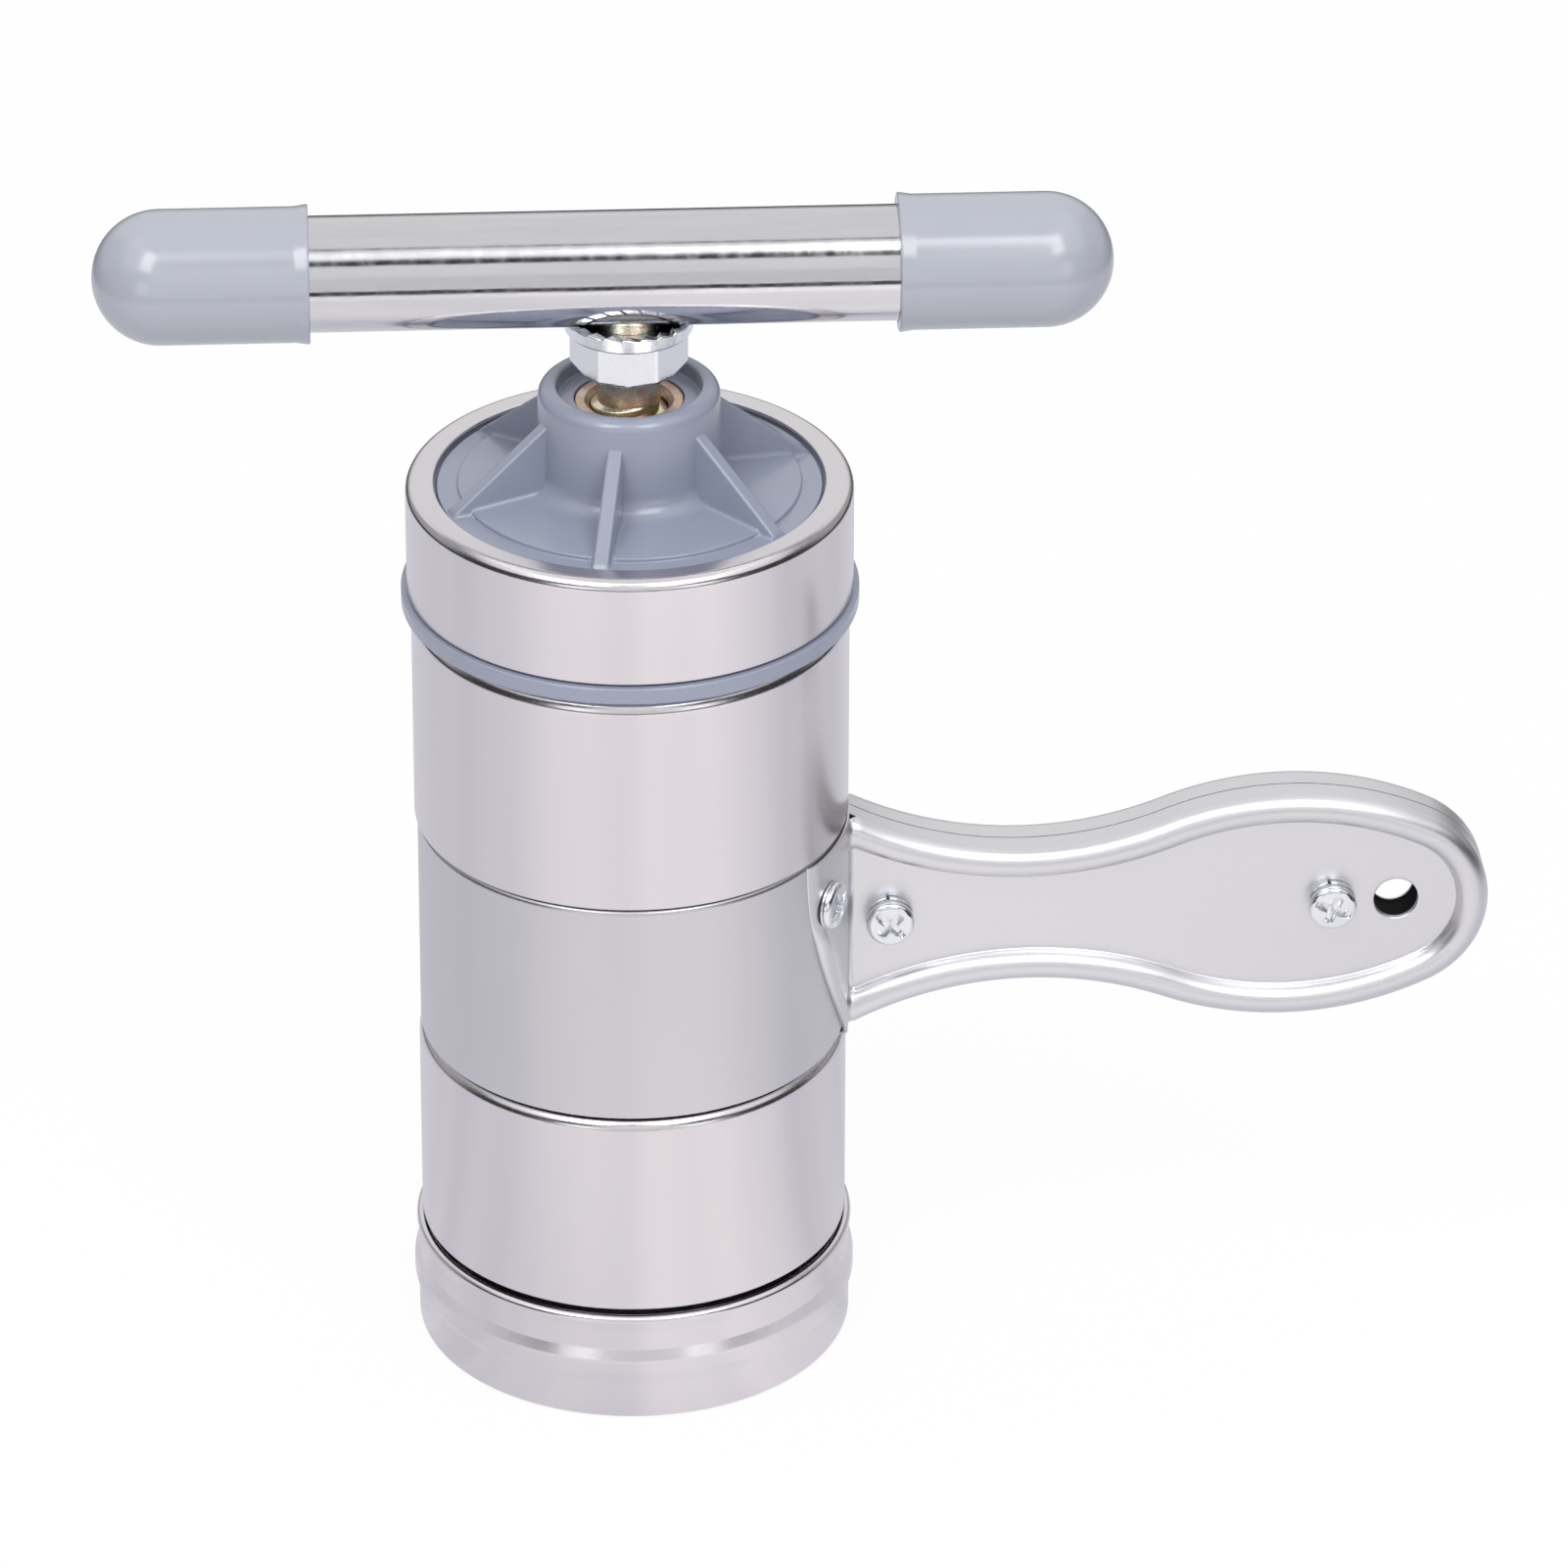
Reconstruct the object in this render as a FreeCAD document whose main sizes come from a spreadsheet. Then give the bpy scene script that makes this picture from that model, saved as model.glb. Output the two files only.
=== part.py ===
import FreeCAD, Part
import math
import os
from types import SimpleNamespace

import Sketcher

# Hand crank noodle press, in millimetres. +Z is up along the barrel's axis, z = 0 is the plane
# it stands on, and the handle points along +X. The screw is at rest fully down.

doc = FreeCAD.newDocument("NoodlePress")
sheet = doc.addObject("Spreadsheet::Sheet", "Sizes")

# Driving sizes, each in a cell of its own. Radii and heights build outwards and upwards from the
# tube and the collar, so that a change of one carries its neighbours along.
driving = {
    # clearances
    "seatGap": (0.05, "between two fixed pieces that seat on each other"),
    "runGap": (0.08, "radial, between a shaft and the bore it turns in"),
    "looseGap": (0.3, "between faces of pieces that move apart"),
    "threadGap": (0.2, "radial, between a thread's crest and its mate"),
    # press tube
    "tubeBore": (30.0, "radius of the dough chamber"),
    "tubeWall": (1.6, "wall of the press tube"),
    "threadDepth": (0.7, "height of the threads at both ends of the tube"),
    "tubeLip": (0.5, "chamfer at the tube's ends"),
    # collar and die
    "collarSheet": (0.75, "sheet of the collar"),
    "outletRadius": (28.5, "opening in the collar's lip"),
    "collarCorner": (1.0, "bend at the foot of the collar"),
    "beadLow": (7.0, "lower edge of the collar's bead"),
    "beadHeight": (6.0, "height of the collar's bead"),
    "beadProud": (0.7, "how far the bead stands out"),
    "rimRadius": (0.95, "curl at the collar's rim"),
    "collarHeight": (19.05, "height of the collar"),
    "collarRingWall": (1.6, "wall of the threaded ring in the collar"),
    "collarRingHeight": (12.5, "height of the threaded ring in the collar"),
    "dieThickness": (1.6, "thickness of the die"),
    "dieHole": (1.6, "radius of each hole in the die"),
    "dieRingPitch": (6.6, "distance between the rings of holes"),
    # sleeves on the tube
    "collarOpen": (0.95, "slot between the collar's rim and the lower sleeve"),
    "lowerLength": (35.0, "length of the lower sleeve"),
    "lowerStandoff": (2.6, "lower sleeve's surface above the tube's"),
    "lowerShoulder": (2.2, "bend at the top of the lower sleeve"),
    "bandLength": (37.8, "length of the middle band"),
    "bandStandoff": (2.35, "band's surface above the tube's"),
    "bandShoulder": (1.0, "bend at the top of the band"),
    "upperLength": (37.1, "length of the upper sleeve"),
    "upperStandoff": (2.8, "upper sleeve's surface above the tube's"),
    "upperShoulder": (2.6, "bend at the top of the upper sleeve"),
    "sleeveSheet": (0.7, "sheet of the sleeves and the band"),
    # lid
    "gasketThickness": (2.6, "thickness of the ring under the lid"),
    "gasketProud": (0.9, "how far that ring stands out of the lid"),
    "lidSheet": (0.8, "sheet of the lid's steel shell"),
    "lidHeight": (17.8, "height of the lid's steel shell"),
    "lidCorner": (1.7, "bend at the lid's top edge"),
    "lidOpening": (30.5, "radius of the opening in the steel shell"),
    "skirtWall": (1.65, "wall of the insert's threaded skirt"),
    "crownThickness": (2.6, "thickness of the insert's crown at its edge"),
    "crownRadius": (26.8, "radius of the raised disc"),
    "crownStep": (0.7, "height of the raised disc's edge"),
    "crownRise": (1.1, "further rise of the disc to the hub"),
    "lidRoom": (0.6, "between the tube's end and the insert"),
    "hubRadius": (14.4, "radius of the hub"),
    "hubHeight": (17.4, "height of the hub above the crown's edge"),
    "hubRim": (1.3, "rounding of the hub's rim"),
    "recessRadius": (11.3, "radius of the recess in the hub"),
    "recessDepth": (2.4, "depth of that recess"),
    "ribThickness": (2.6, "thickness of a rib"),
    "ribReach": (29.0, "radius that the ribs reach"),
    "ribTop": (12.7, "height of a rib at the hub, above the crown's edge"),
    "ribAngle": (-102.4, "direction of the first rib"),
    # lead nut
    "nutNeckRadius": (8.5, "radius of the lead nut's neck"),
    "nutNeckHeight": (2.2, "height of that neck"),
    "nutRadius": (9.25, "radius of the lead nut's body"),
    "nutRecessRadius": (6.9, "recess in the top of the lead nut"),
    "nutRecessDepth": (0.7, "depth of that recess"),
    "nutFlangeRadius": (12.5, "flange under the lead nut"),
    "nutFlangeHeight": (1.6, "thickness of that flange"),
    # spindle and pusher
    "screwRadius": (6.0, "crest radius of the spindle's thread"),
    "neckRadius": (4.925, "radius of the spindle's plain neck"),
    "neckFillet": (1.0, "fillet at the foot of the neck"),
    "screwTopInset": (2.2, "top of the thread below the hub's rim"),
    "journalRadius": (4.0, "radius of the spindle's end"),
    "journalTail": (0.5, "end of the spindle below its nut"),
    "pusherSheet": (1.5, "sheet of the pusher"),
    "pusherSkirt": (9.0, "height of the pusher's skirt"),
    "pusherCorner": (2.0, "bend at the pusher's edge"),
    "domeRadius": (11.5, "radius of the pusher's raised middle"),
    "domeHeight": (7.5, "height of the pusher's raised middle"),
    "washerRadius": (9.0, "radius of the thrust washer"),
    "washerThickness": (1.5, "thickness of the thrust washer"),
    "endNutAcross": (13.0, "across the flats of the nut at the spindle's end"),
    "endNutHeight": (4.4, "height of that nut"),
    # crank bar
    "barRoom": (3.05, "between the hub and the flange nut"),
    "flangeNutAcross": (16.0, "across the flats of the flange nut"),
    "flangeNutHeight": (9.4, "height of the flange nut"),
    "flangeRadius": (10.5, "radius of its flange"),
    "flangeLift": (2.6, "height of the flange"),
    "flangeSpread": (1.5, "height over which the flange widens"),
    "flangeDish": (1.7, "depth of the dish inside the flange's rim"),
    "flangeRim": (0.8, "width of the flange's rim"),
    "flangeWall": (1.5, "width of the slope inside the rim"),
    "flangeEdge": (0.25, "chamfer of the rim"),
    "barSink": (1.65, "how far the flange's rim is let into the bar"),
    "barRadius": (9.0, "radius of the crank bar"),
    "barWall": (1.2, "wall of the crank bar"),
    "barLeft": (82.5, "left tip of the bar from the spindle"),
    "barRight": (74.9, "right tip of the bar from the spindle"),
    "barAngle": (-1.33, "rest angle of the bar"),
    "capWall": (1.45, "wall of an end cap"),
    "capLength": (33.4, "length of an end cap"),
    "capEndWall": (8.0, "from a cap's tip to the end of the bar"),
    "capFlare": (0.35, "flare at a cap's open edge"),
    "capFlareLength": (1.4, "length of that flare"),
    "barNutLength": (17.0, "length of the cross nut in the bar"),
    "neckPast": (3.5, "end of the spindle above the bar's axis"),
    # handle
    "handleLift": (17.6, "handle's axis above the band's lower edge"),
    "narrowReach": (28.9, "from the band to the handle's narrowest place"),
    "wideReach": (41.93, "from the narrowest place to the widest"),
    "tipReach": (32.35, "from the widest place to the tip"),
    "narrowHalf": (11.82, "half height at the narrowest place"),
    "wideHalf": (20.0, "half height at the widest place"),
    "wideArc": (52.76, "radius of the full flank at the widest place"),
    "beadRadius": (2.5, "radius of the shell's rolled edge"),
    "panelDepth": (3.3, "outer face of the panel from the seam"),
    "shellSheet": (0.8, "sheet of the handle's shells"),
    "seamGap": (0.1, "half of the seam between the shells"),
    "rootGap": (0.4, "from the band to the ends of the shell's edges"),
    "footSheet": (0.6, "sheet of the foot on the band"),
    "footSweep": (46.0, "angle that the foot's blank wraps round the band"),
    "footReach": (21.6, "how far the foot's upper corner reaches forward"),
    "footToe": (6.0, "how far its lower corner reaches forward"),
    "footArc": (55.5, "radius of the foot's curved edge"),
    "footInset": (0.5, "foot's top edge below the band's"),
    # fasteners of the handle
    "boltRadius": (2.0, "radius of the screws"),
    "boltHole": (2.15, "radius of the holes for them"),
    "boltHead": (3.95, "radius of a screw's head"),
    "boltHeadHeight": (2.4, "height of a screw's head"),
    "boltHeadRound": (1.2, "rounding of a screw's head"),
    "springRadius": (3.7, "radius of a spring washer"),
    "springThickness": (0.9, "thickness of a spring washer"),
    "footHeadHeight": (1.5, "height of a foot screw's head"),
    "footWasher": (0.5, "thickness of a foot screw's washer"),
    "boltNutAcross": (7.0, "across the flats of the handle's nuts"),
    "boltNutHeight": (3.2, "height of the handle's nuts"),
    "boltTail": (0.8, "end of a screw past its nut"),
    "spacerRadius": (3.6, "radius of the spacers between the shells"),
    "boltNear": (6.95, "from the band to the first screw"),
    "boltFar": (71.0, "from the first screw to the second"),
    "hangHole": (3.5, "radius of the hanging hole"),
    "hangReach": (10.45, "from the second screw to the hanging hole"),
    "footBoltAngle": (29.0, "direction of the foot's screws from the handle"),
    "footBoltLift": (10.4, "foot's screws above the handle's axis"),
    "stripHeight": (13.0, "height of the tapped strip in the band"),
    "stripSweep": (76.0, "angle that the strip spans"),
}


class Size:
    """A number with the expression of sheet cells that gives it."""

    def __init__(self, number, text):
        self.number = float(number)
        self.text = text

    def join(self, other, sign, number):
        return Size(number, f"({self.text} {sign} {other.text})")

    def __add__(self, other):
        other = sized(other)
        return self.join(other, "+", self.number + other.number)

    def __sub__(self, other):
        other = sized(other)
        return self.join(other, "-", self.number - other.number)

    def __mul__(self, other):
        other = sized(other)
        return self.join(other, "*", self.number * other.number)

    def __truediv__(self, other):
        other = sized(other)
        return self.join(other, "/", self.number / other.number)

    def __radd__(self, other):
        return sized(other) + self

    def __rsub__(self, other):
        return sized(other) - self

    def __rmul__(self, other):
        return sized(other) * self

    def __neg__(self):
        return sized(-1) * self


def sized(value):
    return value if isinstance(value, Size) else Size(value, repr(value))


def root(value):
    return Size(math.sqrt(value.number), f"sqrt({value.text})")


zero = sized(0)
s = SimpleNamespace()
for line, (alias, (number, note)) in enumerate(driving.items(), start=1):
    sheet.set(f"A{line}", note)
    sheet.set(f"B{line}", str(number))
    sheet.setAlias(f"B{line}", alias)
    setattr(s, alias, Size(number, f"Sizes.{alias}"))
doc.recompute()

# Radii that follow from the driving ones
tubeOuter = s.tubeBore + s.tubeWall
lowerOuter = tubeOuter + s.lowerStandoff
bandOuter = tubeOuter + s.bandStandoff
upperOuter = tubeOuter + s.upperStandoff
threadBore = tubeOuter + s.threadDepth + s.threadGap
skirtOuter = threadBore + s.skirtWall
lidOuter = skirtOuter + s.seatGap + s.lidSheet
collarRingOuter = threadBore + s.collarRingWall
collarOuter = collarRingOuter + s.seatGap + s.collarSheet

# Heights that follow from the driving ones, from the collar's foot upwards
dieBottom = s.collarSheet + s.looseGap
dieTop = dieBottom + s.dieThickness
tubeBottom = dieTop + s.looseGap
pusherBottom = tubeBottom + s.seatGap
lowerBottom = s.collarHeight + s.collarOpen
lowerTop = lowerBottom + s.lowerLength
bandBottom = lowerTop + s.looseGap
bandTop = bandBottom + s.bandLength
upperBottom = bandTop + s.looseGap
upperTop = upperBottom + s.upperLength
gasketBottom = upperTop + s.looseGap
gasketTop = gasketBottom + s.gasketThickness
lidBottom = gasketTop + s.looseGap
lidTop = lidBottom + s.lidHeight
crownEdge = lidTop - s.lidSheet - s.seatGap
crownUnder = crownEdge - s.crownThickness
tubeTop = crownUnder - s.lidRoom
hubTop = crownEdge + s.hubHeight
recessFloor = hubTop - s.recessDepth
screwTop = hubTop - s.screwTopInset
flangeNutBottom = hubTop + s.barRoom
flangeNutTop = flangeNutBottom + s.flangeNutHeight
barHeight = flangeNutTop - s.barSink + s.seatGap + s.barRadius
handleHeight = bandBottom + s.handleLift


def bind(thing, place, size):
    thing.setExpression(place, size.text)


def newBody(name, x=zero, y=zero, z=zero, turn=None):
    """A body named after its piece, set at x, y, z and turned about +Z."""
    body = doc.addObject("PartDesign::Body", name)
    body.Label = name
    angle = turn.number if turn else 0.0
    spin = FreeCAD.Rotation(FreeCAD.Vector(0, 0, 1), angle)
    body.Placement = FreeCAD.Placement(FreeCAD.Vector(x.number, y.number, z.number), spin)
    for axis, size in (("x", x), ("y", y), ("z", z)):
        if size is not zero:
            bind(body, f"Placement.Base.{axis}", size)
    if turn:
        body.setExpression("Placement.Rotation.Angle", f"{turn.text} * 1deg")
    return body


def originPlane(body, role):
    return next(item for item in body.Origin.OriginFeatures if item.Role == role)


def newSketch(body, name, role, offset=None):
    sketch = body.newObject("Sketcher::SketchObject", name)
    sketch.AttachmentSupport = [(originPlane(body, role), "")]
    sketch.MapMode = "FlatFace"
    if offset is not None:
        sketch.AttachmentOffset = FreeCAD.Placement(
            FreeCAD.Vector(0, 0, offset.number), FreeCAD.Rotation()
        )
        bind(sketch, "AttachmentOffset.Base.z", offset)
    return sketch


def hold(sketch, kind, geometry, point, size):
    """Tie one coordinate of a point of the sketch to the sizes."""
    if size is zero:
        axisLine = -2 if kind == "DistanceX" else -1
        sketch.addConstraint(Sketcher.Constraint("PointOnObject", geometry, point, axisLine))
        return
    index = sketch.addConstraint(
        Sketcher.Constraint(kind, -1, 1, geometry, point, size.number)
    )
    sketch.setExpression(f"Constraints[{index}]", size.text)


def vector(point):
    return FreeCAD.Vector(point[0].number, point[1].number, 0)


def rounded(corners):
    """Turn corners (across, up, radius) into stops; a stop is (across, up, centre, turn)."""
    stops = []
    count = len(corners)
    for i, corner in enumerate(corners):
        if len(corner) != 3:
            stops.append(corner)
            continue
        across, up, radius = corner
        before = corners[i - 1]
        after = corners[(i + 1) % count]
        level = abs(before[1].number - up.number) < 1e-6
        near = before if level else after
        far = after if level else before
        sideways = radius if near[0].number > across.number else -radius
        upwards = radius if far[1].number > up.number else -radius
        flat = (across + sideways, up)
        tall = (across, up + upwards)
        centre = (across + sideways, up + upwards)
        first, second = (flat, tall) if level else (tall, flat)
        start = vector(first) - vector(centre)
        end = vector(second) - vector(centre)
        turn = 1 if start.cross(end).z > 0 else -1
        stops.append(first)
        stops.append((*second, centre, turn))
    return stops


def draw(sketch, corners, closed=True):
    """Draw lines and arcs from stop to stop, each held by the sizes."""
    stops = rounded(corners)
    pairs = list(zip(stops, stops[1:] + stops[:1])) if closed else list(zip(stops, stops[1:]))
    first = sketch.GeometryCount
    flipped = []
    for start, end in pairs:
        a = vector(start)
        b = vector(end)
        if len(end) == 2:
            sketch.addGeometry(Part.LineSegment(a, b), False)
            flipped.append(False)
            continue
        centre = vector(end[2])
        turn = end[3]
        radius = (a - centre).Length
        angles = [math.atan2(p.y - centre.y, p.x - centre.x) for p in (a, b)]
        if turn < 0:
            angles.reverse()
        circle = Part.Circle(centre, FreeCAD.Vector(0, 0, 1), radius)
        sketch.addGeometry(Part.ArcOfCircle(circle, angles[0], angles[1]), False)
        flipped.append(turn < 0)
    for i, (start, end) in enumerate(pairs):
        geometry = first + i
        head = 2 if flipped[i] else 1
        hold(sketch, "DistanceX", geometry, head, start[0])
        hold(sketch, "DistanceY", geometry, head, start[1])
        if len(end) == 4:
            wide = abs(end[0].number - start[0].number) >= abs(end[1].number - start[1].number)
            kind, which = ("DistanceY", 1) if wide else ("DistanceX", 0)
            hold(sketch, kind, geometry, 3, end[2][which])
        if i + 1 < len(pairs):
            tail = 1 if flipped[i] else 2
            nextHead = 2 if flipped[i + 1] else 1
            sketch.addConstraint(
                Sketcher.Constraint("Coincident", geometry, tail, geometry + 1, nextHead)
            )
    last = len(pairs) - 1
    tail = 1 if flipped[last] else 2
    if closed:
        head = 2 if flipped[0] else 1
        sketch.addConstraint(Sketcher.Constraint("Coincident", first + last, tail, first, head))
    else:
        end = pairs[last][1]
        hold(sketch, "DistanceX", first + last, tail, end[0])
        hold(sketch, "DistanceY", first + last, tail, end[1])


def drawCircle(sketch, across, up, radius):
    circle = Part.Circle(
        FreeCAD.Vector(across.number, up.number, 0), FreeCAD.Vector(0, 0, 1), radius.number
    )
    geometry = sketch.addGeometry(circle, False)
    hold(sketch, "DistanceX", geometry, 3, across)
    hold(sketch, "DistanceY", geometry, 3, up)
    index = sketch.addConstraint(Sketcher.Constraint("Radius", geometry, radius.number))
    sketch.setExpression(f"Constraints[{index}]", radius.text)


def revolve(body, corners, role="XZ_Plane", axis="V_Axis", sweep=None):
    sketch = newSketch(body, body.Name + "Profile", role)
    draw(sketch, corners)
    turned = body.newObject("PartDesign::Revolution", body.Name + "Turned")
    turned.Profile = sketch
    turned.ReferenceAxis = (sketch, [axis])
    turned.Angle = sweep.number if sweep else 360.0
    if sweep:
        turned.Midplane = True
        turned.setExpression("Angle", f"{sweep.text} * 1deg")
    return turned


def turnedPiece(name, corners, **options):
    """A piece turned about +Z from the outline (radius, height)."""
    body = newBody(name)
    revolve(body, corners, **options)
    return body


def pad(body, sketch, name, length, both=False):
    feature = body.newObject("PartDesign::Pad", name)
    feature.Profile = sketch
    feature.Length = length.number
    feature.Midplane = both
    bind(feature, "Length", length)
    return feature


def cutThrough(body, sketch, name):
    feature = body.newObject("PartDesign::Pocket", name)
    feature.Profile = sketch
    feature.Type = "ThroughAll"
    feature.Midplane = True
    return feature


def cylinder(name, radius, height, x=zero, y=zero, z=zero, along=(0, 0, 1)):
    rod = doc.addObject("Part::Cylinder", name)
    upright = FreeCAD.Vector(0, 0, 1)
    rod.Placement = FreeCAD.Placement(
        FreeCAD.Vector(x.number, y.number, z.number),
        FreeCAD.Rotation(upright, FreeCAD.Vector(*along)),
    )
    bind(rod, "Radius", radius)
    bind(rod, "Height", height)
    for axis, size in (("x", x), ("y", y), ("z", z)):
        if size is not zero:
            bind(rod, f"Placement.Base.{axis}", size)
    return rod


def hexPrism(name, across, height, z):
    prism = doc.addObject("Part::Prism", name)
    prism.Polygon = 6
    bind(prism, "Circumradius", across / math.sqrt(3))
    bind(prism, "Height", height)
    prism.Placement.Base = FreeCAD.Vector(0, 0, z.number)
    bind(prism, "Placement.Base.z", z)
    return prism


def cut(name, base, tool):
    result = doc.addObject("Part::Cut", name)
    result.Base = base
    result.Tool = tool
    result.Label = name
    return result


def group(name, pieces):
    result = doc.addObject("Part::Compound", name)
    result.Links = pieces
    result.Label = name
    return result


# Press tube, plain where scene-level threads are rolled into its two ends
def makeTube():
    lip = s.tubeLip
    return turnedPiece(
        "press_tube",
        [
            (s.tubeBore, tubeBottom),
            (tubeOuter - lip, tubeBottom),
            (tubeOuter, tubeBottom + lip),
            (tubeOuter, tubeTop - lip),
            (tubeOuter - lip, tubeTop),
            (s.tubeBore, tubeTop),
        ],
    )


def makeSleeve(name, outer, bottom, top, shoulder):
    """A spun sleeve: cut edge below, and a rounded shoulder turned in to the tube above."""
    inner = outer - s.sleeveSheet
    seat = tubeOuter + s.seatGap
    return turnedPiece(
        name,
        [
            (inner, bottom),
            (outer, bottom, s.sleeveSheet * 0.6),
            (outer, top, shoulder),
            (seat, top),
            (seat, top - s.sleeveSheet),
            (inner, top - s.sleeveSheet, shoulder - s.sleeveSheet),
        ],
    )


def makeCollar():
    """Steel collar: lip under the die, bead round its waist, curled rim."""
    beadTop = s.beadLow + s.beadHeight
    beadMiddle = s.beadLow + s.beadHeight / 2
    bulge = (s.beadProud * s.beadProud + s.beadHeight * s.beadHeight / 4) / (s.beadProud * 2)
    beadCentre = collarOuter + s.beadProud - bulge
    inner = collarOuter - s.collarSheet
    rimCentre = s.collarHeight - s.rimRadius
    curlCentre = collarOuter + s.collarSheet / 3 - s.rimRadius
    reach = collarOuter - curlCentre
    rimFoot = rimCentre - root(s.rimRadius * s.rimRadius - reach * reach)
    innerReach = inner - curlCentre
    innerFoot = rimCentre - root(s.rimRadius * s.rimRadius - innerReach * innerReach)
    return turnedPiece(
        "collar_shell",
        [
            (s.outletRadius, zero),
            (collarOuter, zero, s.collarCorner),
            (collarOuter, s.beadLow),
            (collarOuter, beadTop, (beadCentre, beadMiddle), 1),
            (collarOuter, rimFoot),
            (inner, innerFoot, (curlCentre, rimCentre), 1),
            (inner, s.collarSheet),
            (s.outletRadius, s.collarSheet),
        ],
    )


def makeCollarRing():
    bottom = dieTop + s.looseGap
    top = bottom + s.collarRingHeight
    lead = s.threadDepth
    return turnedPiece(
        "collar_thread_ring",
        [
            (threadBore + lead, bottom),
            (collarRingOuter, bottom),
            (collarRingOuter, top),
            (threadBore + lead, top),
            (threadBore, top - lead),
            (threadBore, bottom + lead),
        ],
    )


def makeDie():
    """Flat die with rings of round holes."""
    body = newBody("die_disc")
    edge = threadBore + s.threadDepth
    revolve(
        body,
        [(zero, dieBottom), (edge, dieBottom, s.threadDepth), (edge, dieTop), (zero, dieTop)],
    )
    doc.recompute()
    for ring in range(4):
        sketch = newSketch(body, f"dieHole{ring}", "XY_Plane")
        across = s.dieRingPitch * ring if ring else zero
        drawCircle(sketch, across, zero, s.dieHole)
        hole = cutThrough(body, sketch, f"dieDrilled{ring}")
        if ring:
            pattern = body.newObject("PartDesign::PolarPattern", f"dieRing{ring}")
            pattern.Originals = [hole]
            pattern.Axis = (sketch, ["N_Axis"])
            pattern.Angle = 360
            pattern.Occurrences = 6 * ring
            body.Tip = pattern
    return body


def makeGasket():
    bore = threadBore + s.threadGap
    outer = lidOuter + s.gasketProud
    edge = s.gasketThickness / 4
    return turnedPiece(
        "lid_gasket",
        [
            (bore, gasketBottom),
            (outer, gasketBottom),
            (outer, gasketTop, edge),
            (bore, gasketTop),
        ],
    )


def makeLidShell():
    """Steel cap of the lid, open in the middle."""
    inner = lidOuter - s.lidSheet
    under = lidTop - s.lidSheet
    return turnedPiece(
        "lid_shell",
        [
            (inner, lidBottom),
            (lidOuter, lidBottom, s.lidSheet * 0.6),
            (lidOuter, lidTop, s.lidCorner),
            (s.lidOpening, lidTop, s.lidSheet * 0.6),
            (s.lidOpening, under),
            (inner, under, s.lidCorner - s.lidSheet),
        ],
    )


def makeLidInsert():
    """Moulded insert: threaded skirt, crown, hub for the lead nut, and six ribs."""
    body = newBody("lid_insert", turn=s.ribAngle)
    nutBore = s.nutRadius + s.seatGap
    neckBore = s.nutNeckRadius + s.seatGap
    nutShoulder = recessFloor - s.nutNeckHeight
    shellBend = s.lidCorner - s.lidSheet + s.seatGap
    revolve(
        body,
        [
            (threadBore, lidBottom),
            (skirtOuter, lidBottom),
            (skirtOuter, crownEdge, shellBend),
            (s.crownRadius, crownEdge),
            (s.crownRadius, crownEdge + s.crownStep),
            (s.hubRadius, crownEdge + s.crownStep + s.crownRise),
            (s.hubRadius, hubTop, s.hubRim),
            (s.recessRadius, hubTop, s.hubRim / 2),
            (s.recessRadius, recessFloor),
            (neckBore, recessFloor),
            (neckBore, nutShoulder),
            (nutBore, nutShoulder),
            (nutBore, crownUnder),
            (threadBore, crownUnder),
        ],
    )
    doc.recompute()
    sketch = newSketch(body, "ribProfile", "XZ_Plane")
    buried = crownEdge - s.crownThickness / 2
    inside = s.hubRadius - s.hubRim
    draw(
        sketch,
        [
            (inside, buried),
            (s.ribReach, buried),
            (s.ribReach, crownEdge + s.crownStep / 2),
            (s.hubRadius, crownEdge + s.ribTop),
            (inside, crownEdge + s.ribTop),
        ],
    )
    rib = pad(body, sketch, "rib", s.ribThickness, both=True)
    doc.recompute()
    pattern = body.newObject("PartDesign::PolarPattern", "ribs")
    pattern.Originals = [rib]
    pattern.Axis = (originPlane(body, "Z_Axis"), [""])
    pattern.Angle = 360
    pattern.Occurrences = 6
    body.Tip = pattern
    return body


def makeLeadNut():
    bore = s.screwRadius + s.runGap
    neckTop = recessFloor - s.looseGap
    shoulder = recessFloor - s.nutNeckHeight - s.seatGap
    flangeTop = crownUnder - s.seatGap
    return turnedPiece(
        "lead_nut",
        [
            (bore, flangeTop - s.nutFlangeHeight),
            (s.nutFlangeRadius, flangeTop - s.nutFlangeHeight),
            (s.nutFlangeRadius, flangeTop),
            (s.nutRadius, flangeTop),
            (s.nutRadius, shoulder),
            (s.nutNeckRadius, shoulder),
            (s.nutNeckRadius, neckTop),
            (s.nutRecessRadius, neckTop),
            (s.nutRecessRadius, neckTop - s.nutRecessDepth),
            (bore, neckTop - s.nutRecessDepth),
        ],
    )


# Heights round the pusher's swivel
domeTop = pusherBottom + s.domeHeight
domeUnder = domeTop - s.pusherSheet
washerBottom = domeTop + s.looseGap
washerTop = washerBottom + s.washerThickness
endNutTop = domeUnder - s.looseGap
endNutBottom = endNutTop - s.endNutHeight


def makePusher():
    """Pressed plate with a turned-up skirt and a raised middle over the spindle's nut."""
    outer = s.tubeBore - s.looseGap
    hole = s.journalRadius + s.runGap
    top = pusherBottom + s.pusherSkirt
    floor = pusherBottom + s.pusherSheet
    well = s.domeRadius - s.pusherSheet
    return turnedPiece(
        "pusher_plate",
        [
            (hole, domeUnder),
            (well, domeUnder),
            (well, pusherBottom),
            (outer, pusherBottom, s.pusherCorner),
            (outer, top),
            (outer - s.pusherSheet, top),
            (outer - s.pusherSheet, floor),
            (s.domeRadius, floor),
            (s.domeRadius, domeTop),
            (hole, domeTop),
        ],
    )


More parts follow.
